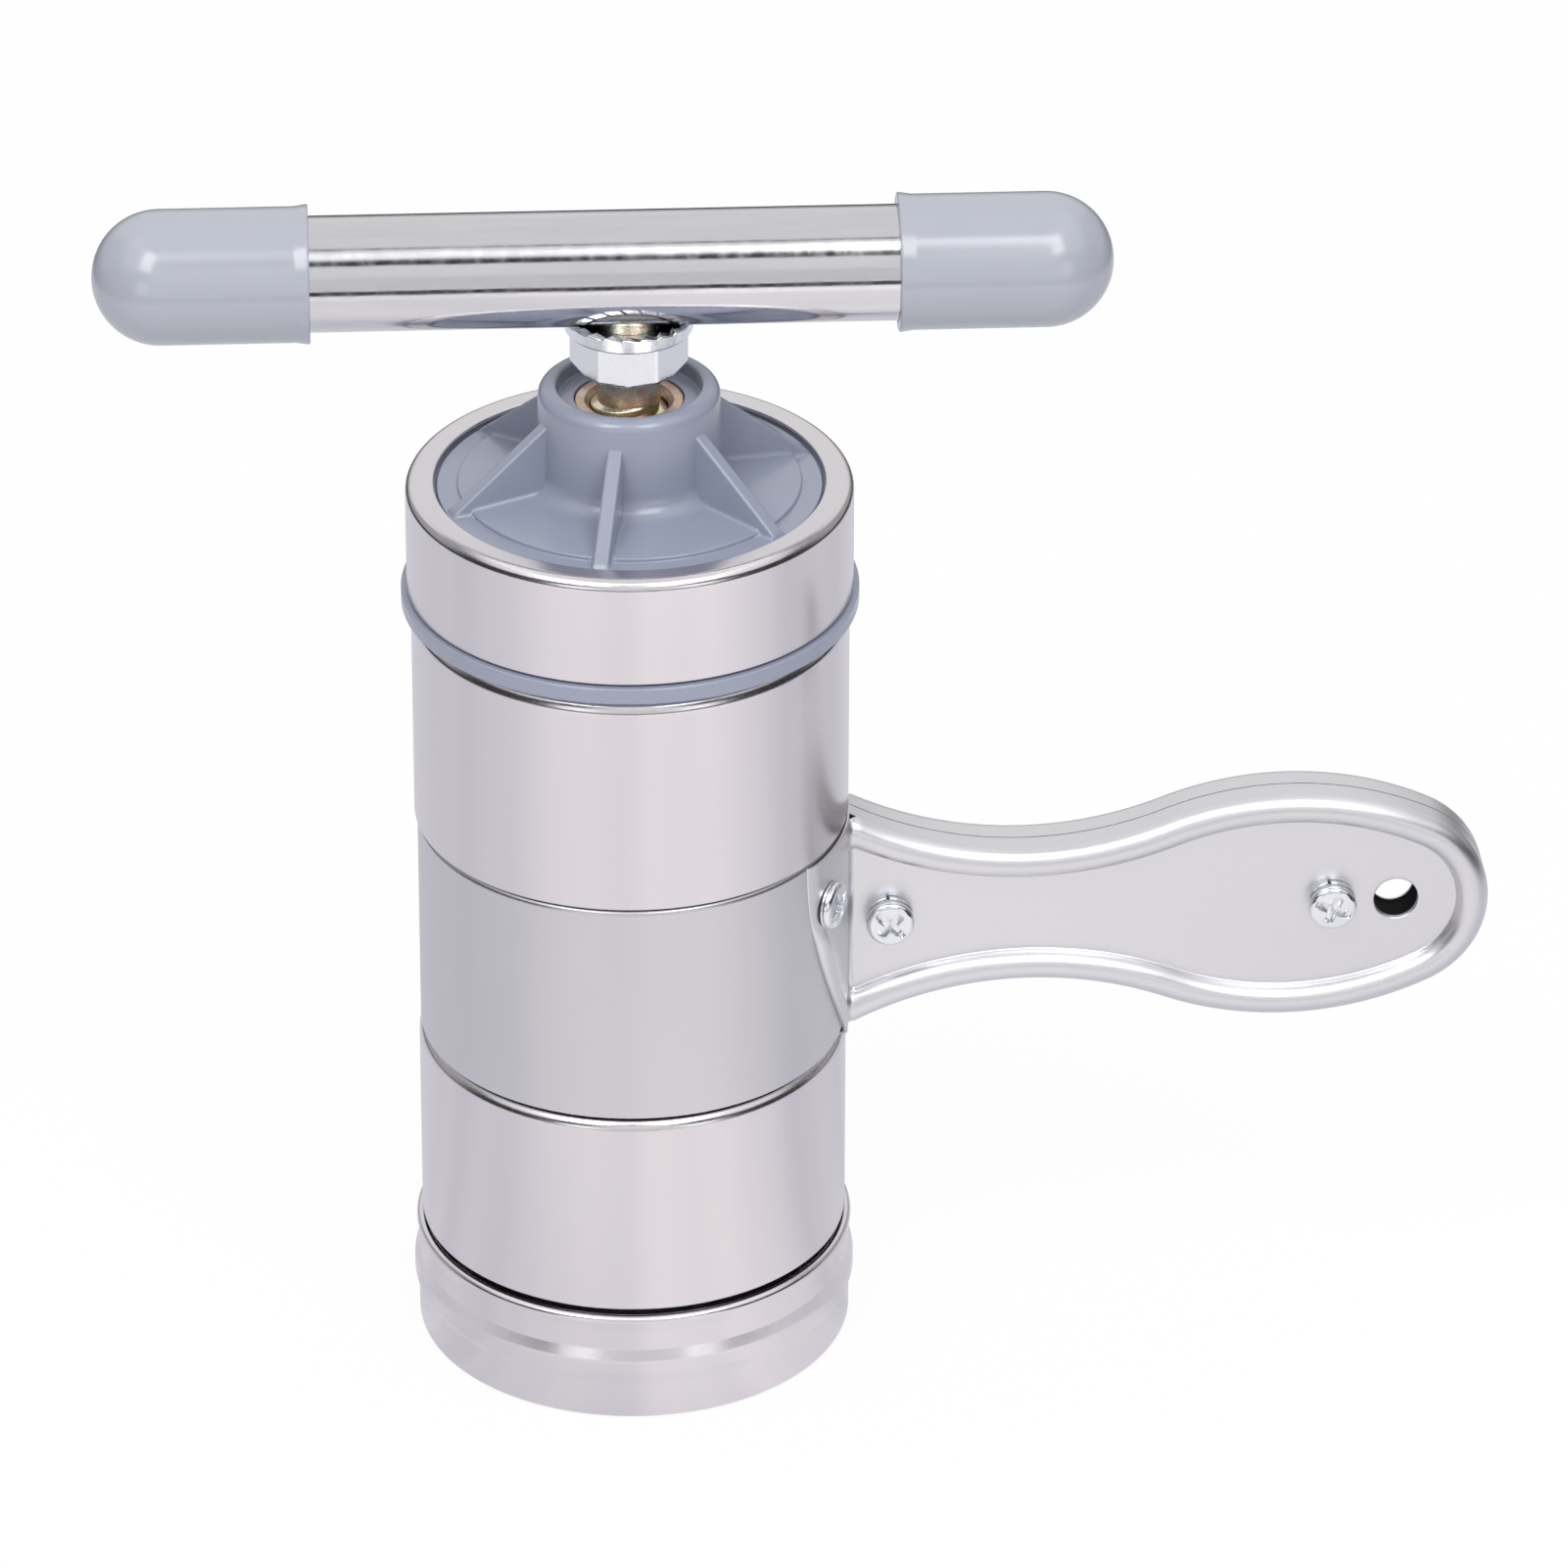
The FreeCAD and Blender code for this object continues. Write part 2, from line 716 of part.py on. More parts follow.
def makeSpindle():
    """Screw: journal and thread below, plain neck up into the bar."""
    bottom = endNutBottom - s.journalTail
    top = barHeight + s.neckPast
    fillet = s.neckFillet
    shoulder = s.neckRadius + fillet
    return turnedPiece(
        "spindle",
        [
            (zero, bottom),
            (s.journalRadius, bottom),
            (s.journalRadius, washerTop),
            (s.screwRadius, washerTop),
            (s.screwRadius, screwTop),
            (shoulder, screwTop),
            (s.neckRadius, screwTop + fillet, (shoulder, screwTop + fillet), -1),
            (s.neckRadius, top),
            (zero, top),
        ],
    )


def makeThrustWasher():
    bore = s.journalRadius + s.seatGap
    return turnedPiece(
        "thrust_washer",
        [
            (bore, washerBottom),
            (s.washerRadius, washerBottom),
            (s.washerRadius, washerTop),
            (bore, washerTop),
        ],
    )


def makeEndNut():
    blank = hexPrism("endNutBlank", s.endNutAcross, s.endNutHeight, endNutBottom)
    bore = cylinder(
        "endNutBore", s.journalRadius + s.seatGap, s.endNutHeight, z=endNutBottom
    )
    return cut("spindle_end_nut", blank, bore)


def makeFlangeNut():
    """Flange nut under the bar: hexagon, flaring flange and a dish inside the rim."""
    corner = s.flangeNutAcross / math.sqrt(3)
    flangeFoot = flangeNutTop - s.flangeLift
    rimInner = s.flangeRadius - s.flangeRim
    blank = hexPrism(
        "flangeNutHex", s.flangeNutAcross, flangeFoot - flangeNutBottom, flangeNutBottom
    )
    turnedOff = turnedPiece(
        "flangeNutEnvelope",
        [
            (zero, flangeNutBottom),
            (s.flangeNutAcross / 2, flangeNutBottom),
            (corner + s.seatGap, flangeNutBottom + corner / 8),
            (corner + s.seatGap, flangeFoot),
            (zero, flangeFoot),
        ],
    )
    faced = doc.addObject("Part::Common", "flangeNutFaced")
    faced.Base = blank
    faced.Tool = turnedOff
    flange = turnedPiece(
        "flangeNutFlange",
        [
            (zero, flangeFoot - s.flangeEdge),
            (corner + s.seatGap, flangeFoot - s.flangeEdge),
            (corner + s.flangeEdge, flangeFoot),
            (s.flangeRadius, flangeFoot + s.flangeSpread),
            (s.flangeRadius, flangeNutTop - s.flangeEdge),
            (s.flangeRadius - s.flangeEdge, flangeNutTop),
            (rimInner, flangeNutTop),
            (rimInner - s.flangeWall, flangeNutTop - s.flangeDish),
            (zero, flangeNutTop - s.flangeDish),
        ],
    )
    whole = doc.addObject("Part::Fuse", "flangeNutWhole")
    whole.Base = faced
    whole.Tool = flange
    bore = cylinder(
        "flangeNutBore", s.neckRadius + s.seatGap, s.flangeNutHeight, z=flangeNutBottom
    )
    return cut("flange_nut", whole, bore)


# Crank bar, turned about its own axis and set at the bar's height
def barPiece(name, corners):
    body = newBody(name, z=barHeight, turn=s.barAngle)
    revolve(body, corners, axis="H_Axis")
    return body


def makeBar():
    left = s.capEndWall - s.barLeft
    right = s.barRight - s.capEndWall
    inner = s.barRadius - s.barWall
    tube = barPiece(
        "barTube", [(left, inner), (right, inner), (right, s.barRadius), (left, s.barRadius)]
    )
    hole = cylinder(
        "barHole", s.neckRadius + s.seatGap, s.barRadius, z=barHeight - s.barRadius
    )
    rimInner = s.flangeRadius - s.flangeRim
    seatFloor = flangeNutTop - s.flangeDish + s.seatGap
    seat = turnedPiece(
        "barSeat",
        [
            (zero, seatFloor - s.barSink),
            (s.flangeRadius + s.seatGap, seatFloor - s.barSink),
            (s.flangeRadius + s.seatGap, flangeNutTop + s.seatGap),
            (rimInner - s.seatGap, flangeNutTop + s.seatGap),
            (rimInner - s.flangeWall - s.seatGap, seatFloor),
            (zero, seatFloor),
        ],
    )
    return cut("crank_bar", cut("barBored", tube, hole), seat)


def makeBarNut():
    """Cross nut inside the bar, which the spindle's neck screws into."""
    half = s.barNutLength / 2
    radius = s.barRadius - s.barWall - s.seatGap
    rod = barPiece("barNutRod", [(-half, zero), (half, zero), (half, radius), (-half, radius)])
    depth = s.barRadius + s.neckPast + s.seatGap
    hole = cylinder(
        "barNutHole", s.neckRadius + s.seatGap, depth, z=barHeight - s.barRadius
    )
    return cut("bar_cross_nut", rod, hole)


def makeCap(name, tip, side):
    """Domed plastic cap; side is 1 for the right end and -1 for the left."""
    inner = s.barRadius + s.seatGap
    outer = inner + s.capWall
    way = sized(side)
    centre = tip - way * outer
    mouth = tip - way * s.capLength
    flareEnd = mouth + way * s.capFlareLength
    floor = tip - way * (s.capEndWall - s.seatGap)
    return barPiece(
        name,
        [
            (tip, zero),
            (centre, outer, (centre, zero), side),
            (flareEnd, outer),
            (mouth, outer + s.capFlare),
            (mouth, inner),
            (floor, inner),
            (floor, zero),
        ],
    )


# Handle, drawn about its own axis: x from the barrel's axis, y up the handle's height
narrowX = bandOuter + s.narrowReach
wideX = narrowX + s.wideReach
tipX = wideX + s.tipReach
swell = s.wideHalf - s.narrowHalf
arcSum = (s.wideReach * s.wideReach + swell * swell) / (swell * 2)
waistArc = arcSum - s.wideArc
waistUp = s.narrowHalf + waistArc
wideUp = s.wideHalf - s.wideArc
tipArc = (s.wideArc * s.wideArc - s.tipReach * s.tipReach - wideUp * wideUp) / (
    (s.wideArc - s.tipReach) * 2
)
tipCentre = tipX - tipArc
boltX = [bandOuter + s.boltNear, bandOuter + s.boltNear + s.boltFar]
hangX = boltX[1] + s.hangReach


def flank(inset, endX):
    """Upper flank from the tip to endX, as stops, drawn inset from the outline."""
    waistRadius = waistArc + inset
    tipRadius = tipArc - inset
    waist = (narrowX, waistUp)
    wide = (wideX, wideUp)
    end = (tipCentre, zero)
    spread = s.wideArc - tipArc
    tipJoin = (
        tipCentre + (tipCentre - wideX) * tipRadius / spread,
        -wideUp * tipRadius / spread,
    )
    waistJoin = (
        narrowX + (wideX - narrowX) * waistRadius / arcSum,
        waistUp + (wideUp - waistUp) * waistRadius / arcSum,
    )
    back = narrowX - endX
    endUp = waistUp - root(waistRadius * waistRadius - back * back)
    return [
        (tipCentre + tipRadius, zero),
        (*tipJoin, end, 1),
        (*waistJoin, wide, 1),
        (endX, endUp, waist, -1),
    ]


def mirrored(stops):
    """The same stops below the handle's axis, from the root back to the tip."""
    below = [(x, -y) for x, y, *rest in reversed(stops)]
    arcs = [rest for x, y, *rest in reversed(stops) if rest]
    result = [below[0]]
    for (x, y), (centre, turn) in zip(below[1:], arcs):
        result.append((x, y, (centre[0], -centre[1]) if centre[1] is not zero else centre, turn))
    return result


def makeShell(name, side):
    """Stamped half of the handle; side is -1 for the front half and 1 for the back."""
    way = sized(side)
    body = newBody(name + "Body", z=handleHeight)
    rootX = bandOuter - s.footSheet * 4
    seam = way * s.seamGap
    foot = way * s.panelDepth
    bead = s.beadRadius
    sheetIn = s.shellSheet
    outline = tipX
    crest = (outline - bead, foot)
    spine = newSketch(body, body.Name + "Spine", "XZ_Plane")
    draw(spine, flank(zero, rootX), closed=False)
    section = newSketch(body, body.Name + "Section", "XY_Plane")
    draw(
        section,
        [
            (outline, seam),
            (outline, foot),
            (outline - bead * 2, foot, crest, side),
            (outline - bead * 2, foot - way * sheetIn),
            (outline - bead * 2 + sheetIn, foot - way * sheetIn),
            (outline - bead * 2 + sheetIn, foot),
            (outline - sheetIn, foot, crest, -side),
            (outline - sheetIn, seam),
        ],
    )
    doc.recompute()
    edge = body.newObject("PartDesign::AdditivePipe", body.Name + "Edge")
    edge.Profile = section
    edge.Spine = (spine, ["Edge1", "Edge2", "Edge3"])
    doc.recompute()
    both = body.newObject("PartDesign::Mirrored", body.Name + "BothEdges")
    both.Originals = [edge]
    both.MirrorPlane = (originPlane(body, "XY_Plane"), [""])
    body.Tip = both
    doc.recompute()
    offset = s.panelDepth - sheetIn if side < 0 else -s.panelDepth
    panel = newSketch(body, body.Name + "Panel", "XZ_Plane", offset=offset)
    upper = flank(bead * 2, rootX)
    lower = mirrored(upper)
    draw(panel, [lower[-1], *upper[1:], *lower[:-1]])
    pad(body, panel, body.Name + "PanelPad", sheetIn)
    doc.recompute()
    trim = newSketch(body, body.Name + "Trim", "XY_Plane")
    drawCircle(trim, zero, zero, bandOuter + s.rootGap)
    cutThrough(body, trim, body.Name + "Trimmed")
    holes = newSketch(body, body.Name + "Holes", "XZ_Plane")
    for x in boltX:
        drawCircle(holes, x, zero, s.boltHole)
    drawCircle(holes, hangX, zero, s.hangHole)
    cutThrough(body, holes, body.Name + "Drilled")
    return body


def makeFoot(name, side):
    """Foot of a shell: a curved sheet that hugs the band, trimmed to its curved edge."""
    inner = bandOuter + s.seatGap
    outer = inner + s.footSheet
    back = narrowX - bandOuter
    low = handleHeight - waistUp + root(waistArc * waistArc - back * back)
    high = bandTop - s.footInset
    body = newBody(name + "Foot")
    turned = revolve(body, [(inner, low), (outer, low), (outer, high), (inner, high)])
    turned.Angle = s.footSweep.number
    turned.setExpression("Angle", f"{s.footSweep.text} * 1deg")
    turned.Reversed = side < 0
    doc.recompute()
    way = sized(side)
    toe = (way * s.footToe, low)
    heel = (way * s.footReach, high)
    chordX = s.footReach - s.footToe
    chordY = high - low
    chord = root(chordX * chordX + chordY * chordY)
    rise = root(s.footArc * s.footArc - chord * chord / 4)
    centreX = way * ((s.footReach + s.footToe) / 2 - rise * chordY / chord)
    centreY = (high + low) / 2 + rise * chordX / chord
    waste = way * outer
    margin = s.footInset
    trim = newSketch(body, body.Name + "Trim", "YZ_Plane")
    draw(
        trim,
        [
            toe,
            (*heel, (centreX, centreY), side),
            (heel[0], high + margin),
            (waste, high + margin),
            (waste, low - margin),
            (toe[0], low - margin),
        ],
    )
    cutThrough(body, trim, body.Name + "Trimmed")
    doc.recompute()
    inside = newSketch(body, body.Name + "Inside", "YZ_Plane")
    edge = way * (s.panelDepth - s.shellSheet)
    past = -way * s.footSheet
    draw(
        inside,
        [(past, low - margin), (edge, low - margin), (edge, high + margin), (past, high + margin)],
    )
    cutThrough(body, inside, body.Name + "Opened")
    return body


def makeHandleShell(name, side):
    shell = makeShell(name, side)
    foot = makeFoot(name, side)
    whole = doc.addObject("Part::Fuse", name + "Whole")
    whole.Base = shell
    whole.Tool = foot
    hole = footBore(name + "FootBore", side, s.boltHole)
    return cut(name, whole, hole)


def footBore(name, side, radius):
    """A drill through the foot, the band and the strip, square to the band."""
    body = newBody(name, z=handleHeight + s.footBoltLift, turn=sized(side) * s.footBoltAngle)
    outside = bandOuter + s.footSheet + s.springThickness
    inside = tubeOuter + s.seatGap
    revolve(
        body,
        [(inside, zero), (outside, zero), (outside, radius), (inside, radius)],
        axis="H_Axis",
    )
    return body


def makeBand():
    band = makeSleeve("bandBlank", bandOuter, bandBottom, bandTop, s.bandShoulder)
    drills = doc.addObject("Part::Compound", "bandDrills")
    drills.Links = [footBore(f"bandDrill{side + 1}", side, s.boltHole) for side in (-1, 1)]
    return cut("middle_band", band, drills)


def makeStrip():
    """Curved strip behind the band, tapped for the foot screws."""
    inner = tubeOuter + s.seatGap
    outer = bandOuter - s.sleeveSheet - s.seatGap
    middle = handleHeight + s.footBoltLift
    low = middle - s.stripHeight / 2
    high = middle + s.stripHeight / 2
    blank = turnedPiece(
        "stripBlank", [(inner, low), (outer, low), (outer, high), (inner, high)],
        sweep=s.stripSweep,
    )
    drills = doc.addObject("Part::Compound", "stripDrills")
    tapped = s.boltRadius + s.seatGap
    drills.Links = [footBore(f"stripDrill{side + 1}", side, tapped) for side in (-1, 1)]
    return cut("tapped_strip", blank, drills)


def headOutline(base, way, end, height):
    """Pan head on its shank, as (along, radius); way is the side that the head faces."""
    top = base + way * height
    curve = top - way * s.boltHeadRound
    side = 1 if way.number > 0 else -1
    inner = s.boltHead - s.boltHeadRound
    return [
        (end, zero),
        (end, s.boltRadius),
        (base, s.boltRadius),
        (base, s.boltHead),
        (curve, s.boltHead),
        (top, inner, (curve, inner), -side),
        (top, zero),
    ]


def washerOutline(base, way, thickness):
    top = base + way * thickness
    bore = s.boltRadius + s.seatGap
    return [(base, bore), (base, s.springRadius), (top, s.springRadius), (top, bore)]


def makeHandleFasteners():
    """Two screws through both shells, each with a spring washer, a spacer and a nut."""
    front = sized(-1)
    washerSeat = front * (s.panelDepth + s.seatGap)
    headSeat = washerSeat - s.springThickness - s.seatGap
    nutSeat = s.panelDepth + s.seatGap
    end = nutSeat + s.boltNutHeight + s.boltTail
    spacerHalf = s.panelDepth - s.shellSheet - s.seatGap
    bore = s.boltRadius + s.seatGap
    spacer = [
        (-spacerHalf, bore),
        (spacerHalf, bore),
        (spacerHalf, s.spacerRadius),
        (-spacerHalf, s.spacerRadius),
    ]
    kinds = {
        "handle_screws": headOutline(headSeat, front, end, s.boltHeadHeight),
        "handle_washers": washerOutline(washerSeat, front, s.springThickness),
        "handle_spacers": spacer,
    }
    nodes = []
    for name, outline in kinds.items():
        pieces = []
        for count, x in enumerate(boltX):
            body = newBody(f"{name}{count}", x=x, z=handleHeight)
            revolve(body, outline, role="YZ_Plane", axis="H_Axis")
            pieces.append(body)
        nodes.append(group(name, pieces))
    nuts = []
    for count, x in enumerate(boltX):
        body = newBody(f"handle_nuts{count}", x=x, z=handleHeight)
        sketch = newSketch(body, f"nutProfile{count}", "XZ_Plane", offset=-(nutSeat + s.boltNutHeight))
        half = s.boltNutAcross / 2
        corner = s.boltNutAcross / math.sqrt(3)
        draw(
            sketch,
            [
                (corner, zero),
                (corner / 2, half),
                (-corner / 2, half),
                (-corner, zero),
                (-corner / 2, -half),
                (corner / 2, -half),
            ],
        )
        drawCircle(sketch, zero, zero, bore)
        pad(body, sketch, f"nutPad{count}", s.boltNutHeight)
        nuts.append(body)
    nodes.append(group("handle_nuts", nuts))
    return nodes


def makeFootFasteners():
    """A screw and a washer on each foot, square to the band."""
    out = sized(1)
    washerSeat = bandOuter + s.seatGap + s.footSheet + s.seatGap
    headSeat = washerSeat + s.footWasher + s.seatGap
    end = tubeOuter + s.seatGap
    kinds = {
        "foot_screws": headOutline(headSeat, out, end, s.footHeadHeight),
        "foot_washers": washerOutline(washerSeat, out, s.footWasher),
    }
    nodes = []
    for name, outline in kinds.items():
        pieces = []
        for side in (-1, 1):
            body = newBody(
                f"{name}{side + 1}",
                z=handleHeight + s.footBoltLift,
                turn=sized(side) * s.footBoltAngle,
            )
            revolve(body, outline, axis="H_Axis")
            pieces.append(body)
        nodes.append(group(name, pieces))
    return nodes


nodes = [
    makeTube(),
    makeSleeve("lower_sleeve", lowerOuter, lowerBottom, lowerTop, s.lowerShoulder),
    makeSleeve("upper_sleeve", upperOuter, upperBottom, upperTop, s.upperShoulder),
    makeBand(),
    makeStrip(),
    makeHandleShell("handle_front_shell", -1),
    makeHandleShell("handle_back_shell", 1),
    *makeHandleFasteners(),
    *makeFootFasteners(),
    makeGasket(),
    makeLidShell(),
    makeLidInsert(),
    makeLeadNut(),
    makePusher(),
    makeSpindle(),
    makeThrustWasher(),
    makeEndNut(),
    makeFlangeNut(),
    makeBar(),
    makeBarNut(),
    makeCap("left_cap", -s.barLeft, -1),
    makeCap("right_cap", s.barRight, 1),
    makeDie(),
    makeCollar(),
    makeCollarRing(),
]
doc.recompute()

broken = [item.Name for item in doc.Objects if {"Invalid", "Error"} & set(item.State)]
if broken:
    raise RuntimeError("objects that failed to rebuild: " + ", ".join(broken))
for node in nodes:
    if node.Shape.isNull() or not node.Shape.isValid() or not node.Shape.Solids:
        raise RuntimeError("piece without a valid solid: " + node.Label)

os.makedirs("parts", exist_ok=True)
for node in nodes:
    node.Shape.exportStep(f"parts/{node.Label}.step")
    box = node.Shape.BoundBox
    print(
        f"{node.Label}: {len(node.Shape.Solids)} solid(s), "
        f"x {box.XMin:.2f} {box.XMax:.2f}, y {box.YMin:.2f} {box.YMax:.2f}, "
        f"z {box.ZMin:.2f} {box.ZMax:.2f}, {node.Shape.Volume / 1000:.2f} cm3"
    )
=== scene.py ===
import math
from functools import partial, reduce

import bmesh
import bpy
import numpy as np
from mathutils import Matrix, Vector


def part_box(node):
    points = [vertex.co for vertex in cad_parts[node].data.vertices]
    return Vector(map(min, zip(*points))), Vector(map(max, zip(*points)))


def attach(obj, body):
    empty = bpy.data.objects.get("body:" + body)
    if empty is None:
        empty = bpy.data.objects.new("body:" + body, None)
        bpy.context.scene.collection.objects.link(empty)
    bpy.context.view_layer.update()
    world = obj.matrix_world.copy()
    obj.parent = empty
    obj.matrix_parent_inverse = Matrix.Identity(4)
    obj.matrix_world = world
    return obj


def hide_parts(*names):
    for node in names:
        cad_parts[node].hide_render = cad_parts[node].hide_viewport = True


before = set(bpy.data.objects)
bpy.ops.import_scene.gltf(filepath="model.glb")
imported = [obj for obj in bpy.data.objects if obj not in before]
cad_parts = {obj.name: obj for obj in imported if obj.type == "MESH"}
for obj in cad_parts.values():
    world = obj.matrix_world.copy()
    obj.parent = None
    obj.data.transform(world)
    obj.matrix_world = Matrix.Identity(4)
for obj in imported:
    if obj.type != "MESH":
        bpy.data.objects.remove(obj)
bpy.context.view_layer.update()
scene = bpy.context.scene
mm = 0.001  # shapes below are worked out in millimetres and laid down in metres
fullTurn = 2 * math.pi
seatGap = 0.05  # between two fixed pieces that seat on each other


# Lowest and highest corner of a CAD node, in millimetres
def spanOf(node):
    low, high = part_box(node)
    return np.array(low) / mm, np.array(high) / mm


# Outer radius, foot and top of a node that is round about the barrel's axis
def ringOf(node):
    low, high = spanOf(node)
    return (high[1] - low[1]) / 2, low[2], high[2]


# Smooth rise of a share from 0 to 1: s * s * (3 - 2 s)
def eased(share):
    return share * share * (3 - 2 * share)


# Outline from corners (across, up, radius): each corner becomes a tangent arc, centre plus radius
# times (cos, sin) over the turn, with a guard point on the edge at each side to keep it crisp
def rounded(corners, closed=True, steps=6, guard=0.15, least=0.1):
    rows = np.array([(*corner, least)[:3] for corner in corners], float)
    points, radii = rows[:, :2], rows[:, 2]
    into = points - np.roll(points, 1, axis=0)
    onward = np.roll(points, -1, axis=0) - points
    intoLength = np.linalg.norm(into, axis=1)
    onwardLength = np.linalg.norm(onward, axis=1)
    into /= intoLength[:, None]
    onward /= onwardLength[:, None]
    cross = into[:, 0] * onward[:, 1] - into[:, 1] * onward[:, 0]
    turn = np.arctan2(cross, (into * onward).sum(axis=1))
    setback = radii * np.tan(np.abs(turn) / 2)
    inward = np.stack([-into[:, 1], into[:, 0]], axis=1) * np.sign(turn)[:, None]
    centre = points - into * setback[:, None] + inward * radii[:, None]
    start = -inward * radii[:, None]
    angle = turn[:, None] * np.linspace(0, 1, steps + 1)
    arc = centre[:, None] + np.stack(
        [
            start[:, :1] * np.cos(angle) - start[:, 1:] * np.sin(angle),
            start[:, :1] * np.sin(angle) + start[:, 1:] * np.cos(angle),
        ],
        axis=-1,
    )
    guardBefore, guardAfter = (
        np.clip((length - setback - np.roll(setback, way)) * 0.3, 0, guard)[:, None]
        for length, way in ((intoLength, 1), (onwardLength, -1))
    )
    parts = [(arc[:, 0] - into * guardBefore)[:, None], arc, (arc[:, -1] + onward * guardAfter)[:, None]]
    outline = np.concatenate(parts, axis=1)
    if closed:
        return outline.reshape(-1, 2)
    return np.concatenate([points[:1], outline[1:-1].reshape(-1, 2), points[-1:]])


# Surface of revolution about the barrel's axis: (r cos a, r sin a, height)
def spun(outline, turns=256):
    angle = np.linspace(0, fullTurn, turns, endpoint=False)[:, None]
    radius, height = outline[:, 0], outline[:, 1]
    grid = np.stack([radius * np.cos(angle), radius * np.sin(angle), height + 0 * angle], axis=-1)
    return grid, True, True


# Puts a shape made about the local z axis with its foot at a point and its z along an axis
def placed(patch, point, axis, spin=0.0):
    grid, wrapRows, wrapColumns = patch
    along = np.array(axis, float) / np.linalg.norm(axis)
    helper = np.array([0.0, 0.0, 1.0]) if abs(along[2]) < 0.9 else np.array([1.0, 0.0, 0.0])
    across = np.cross(helper, along)
    across /= np.linalg.norm(across)
    upward = np.cross(along, across)
    first = across * math.cos(spin) + upward * math.sin(spin)
    second = np.cross(along, first)
    return grid @ np.stack([first, second, along]) + np.array(point, float), wrapRows, wrapColumns


# Index quads of a grid of rows by columns, counted from a first vertex
def quadsOf(rows, columns, wrapRows, wrapColumns, first):
    row, column = np.meshgrid(
        np.arange(rows if wrapRows else rows - 1),
        np.arange(columns if wrapColumns else columns - 1),
        indexing="ij",
    )
    nextRow = (row + 1) % rows
    nextColumn = (column + 1) % columns
    corners = [
        row * columns + column,
        nextRow * columns + column,
        nextRow * columns + nextColumn,
        row * columns + nextColumn,
    ]
    return np.stack(corners, axis=-1).reshape(-1, 4) + first


# One mesh from several grids; doubles are merged, so poles and shared borders close
def makePiece(name, patches, finish, body, stands=(), facing=None, wall=0.0, inside=None):
    vertices, faces, first = [], [], 0
    for grid, wrapRows, wrapColumns in patches:
        rows, columns = grid.shape[:2]
        vertices.append(grid.reshape(-1, 3) * mm)
        faces.append(quadsOf(rows, columns, wrapRows, wrapColumns, first))
        first += rows * columns
    mesh = bpy.data.meshes.new(name)
    mesh.from_pydata(np.concatenate(vertices).tolist(), [], np.concatenate(faces).tolist())
    work = bmesh.new()
    work.from_mesh(mesh)
    bmesh.ops.remove_doubles(work, verts=work.verts, dist=0.002 * mm)
    bmesh.ops.recalc_face_normals(work, faces=work.faces)
    if facing is not None:
        if sum(face.normal.dot(facing) * face.calc_area() for face in work.faces) < 0:
            bmesh.ops.reverse_faces(work, faces=work.faces)
    work.to_mesh(mesh)
    work.free()
    mesh.polygons.foreach_set("use_smooth", np.ones(len(mesh.polygons), bool))
    mesh.materials.append(finishes[finish])
    piece = bpy.data.objects.new(name, mesh)
    scene.collection.objects.link(piece)
    if wall:
        thicken = piece.modifiers.new("wall", "SOLIDIFY")
        thicken.thickness = wall * mm
        thicken.offset = -1
        thicken.use_even_offset = False
    # The wall's inner face and cut rim take a second finish; the handle's shells use it for painted shade
    if inside:
        mesh.materials.append(finishes[inside])
        thicken.material_offset = 1
        thicken.material_offset_rim = 1
    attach(piece, body)
    if stands:
        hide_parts(*stands)
    return piece


# Open helix: a rounded ridge carried round the axis, rising by the pitch each turn and fading
# into the core at both ends; way is 1 for a thread outside its core and -1 for one inside
threadShape = {"pitch": 3.0, "steps": 96, "fade": 0.5, "width": 1.7, "crest": 0.6, "edge": 0.2,
               "sunk": 0.1, "way": 1, "start": 0.0}


def threadRidge(**changes):
    thread = {**threadShape, **changes}
    turns = (thread["top"] - thread["foot"]) / thread["pitch"]
    count = int(turns * thread["steps"]) + 1
    angle = np.linspace(0, turns * fullTurn, count)[:, None] + thread["start"]
    run = np.linspace(0, turns, count)[:, None]
    fade = eased(np.clip(np.minimum(run, turns - run) / thread["fade"], 0, 1))
    half, crest, edge = thread["width"] / 2, thread["crest"] / 2, thread["edge"]
    section = rounded(
        [(-thread["sunk"], -half), (thread["depth"], -crest, edge),
         (thread["depth"], crest, edge), (-thread["sunk"], half)],
        steps=3, guard=0.05,
    )
    rise = np.clip(section[:, 0], 0, None) * fade + np.clip(section[:, 0], None, 0)
    radius = thread["core"] + thread["way"] * rise
    height = thread["foot"] + run * thread["pitch"] + section[:, 1]
    grid = np.stack([radius * np.cos(angle), radius * np.sin(angle), height], axis=-1)
    return grid, False, True


# Materials. Noise on object coordinates, its scale per millimetre along each axis
def grain(tree, stretch, detail):
    place = tree.nodes.new("ShaderNodeTexCoord")
    mapping = tree.nodes.new("ShaderNodeMapping")
    mapping.inputs["Scale"].default_value = [value / mm for value in stretch]
    noise = tree.nodes.new("ShaderNodeTexNoise")
    noise.inputs["Scale"].default_value = 1.0
    noise.inputs["Detail"].default_value = detail
    noise.inputs["Roughness"].default_value = 0.6
    tree.links.new(place.outputs["Object"], mapping.inputs["Vector"])
    tree.links.new(mapping.outputs["Vector"], noise.inputs["Vector"])
    return noise.outputs["Fac"]


# Straight or smooth rise of a socket from one range onto another
def spread(tree, value, fromRange, toRange=(0.0, 1.0), kind="LINEAR"):
    node = tree.nodes.new("ShaderNodeMapRange")
    node.interpolation_type = kind
    for side, ends in (("From", fromRange), ("To", toRange)):
        node.inputs[side + " Min"].default_value, node.inputs[side + " Max"].default_value = ends
    tree.links.new(value, node.inputs["Value"])
    return node.outputs["Result"]


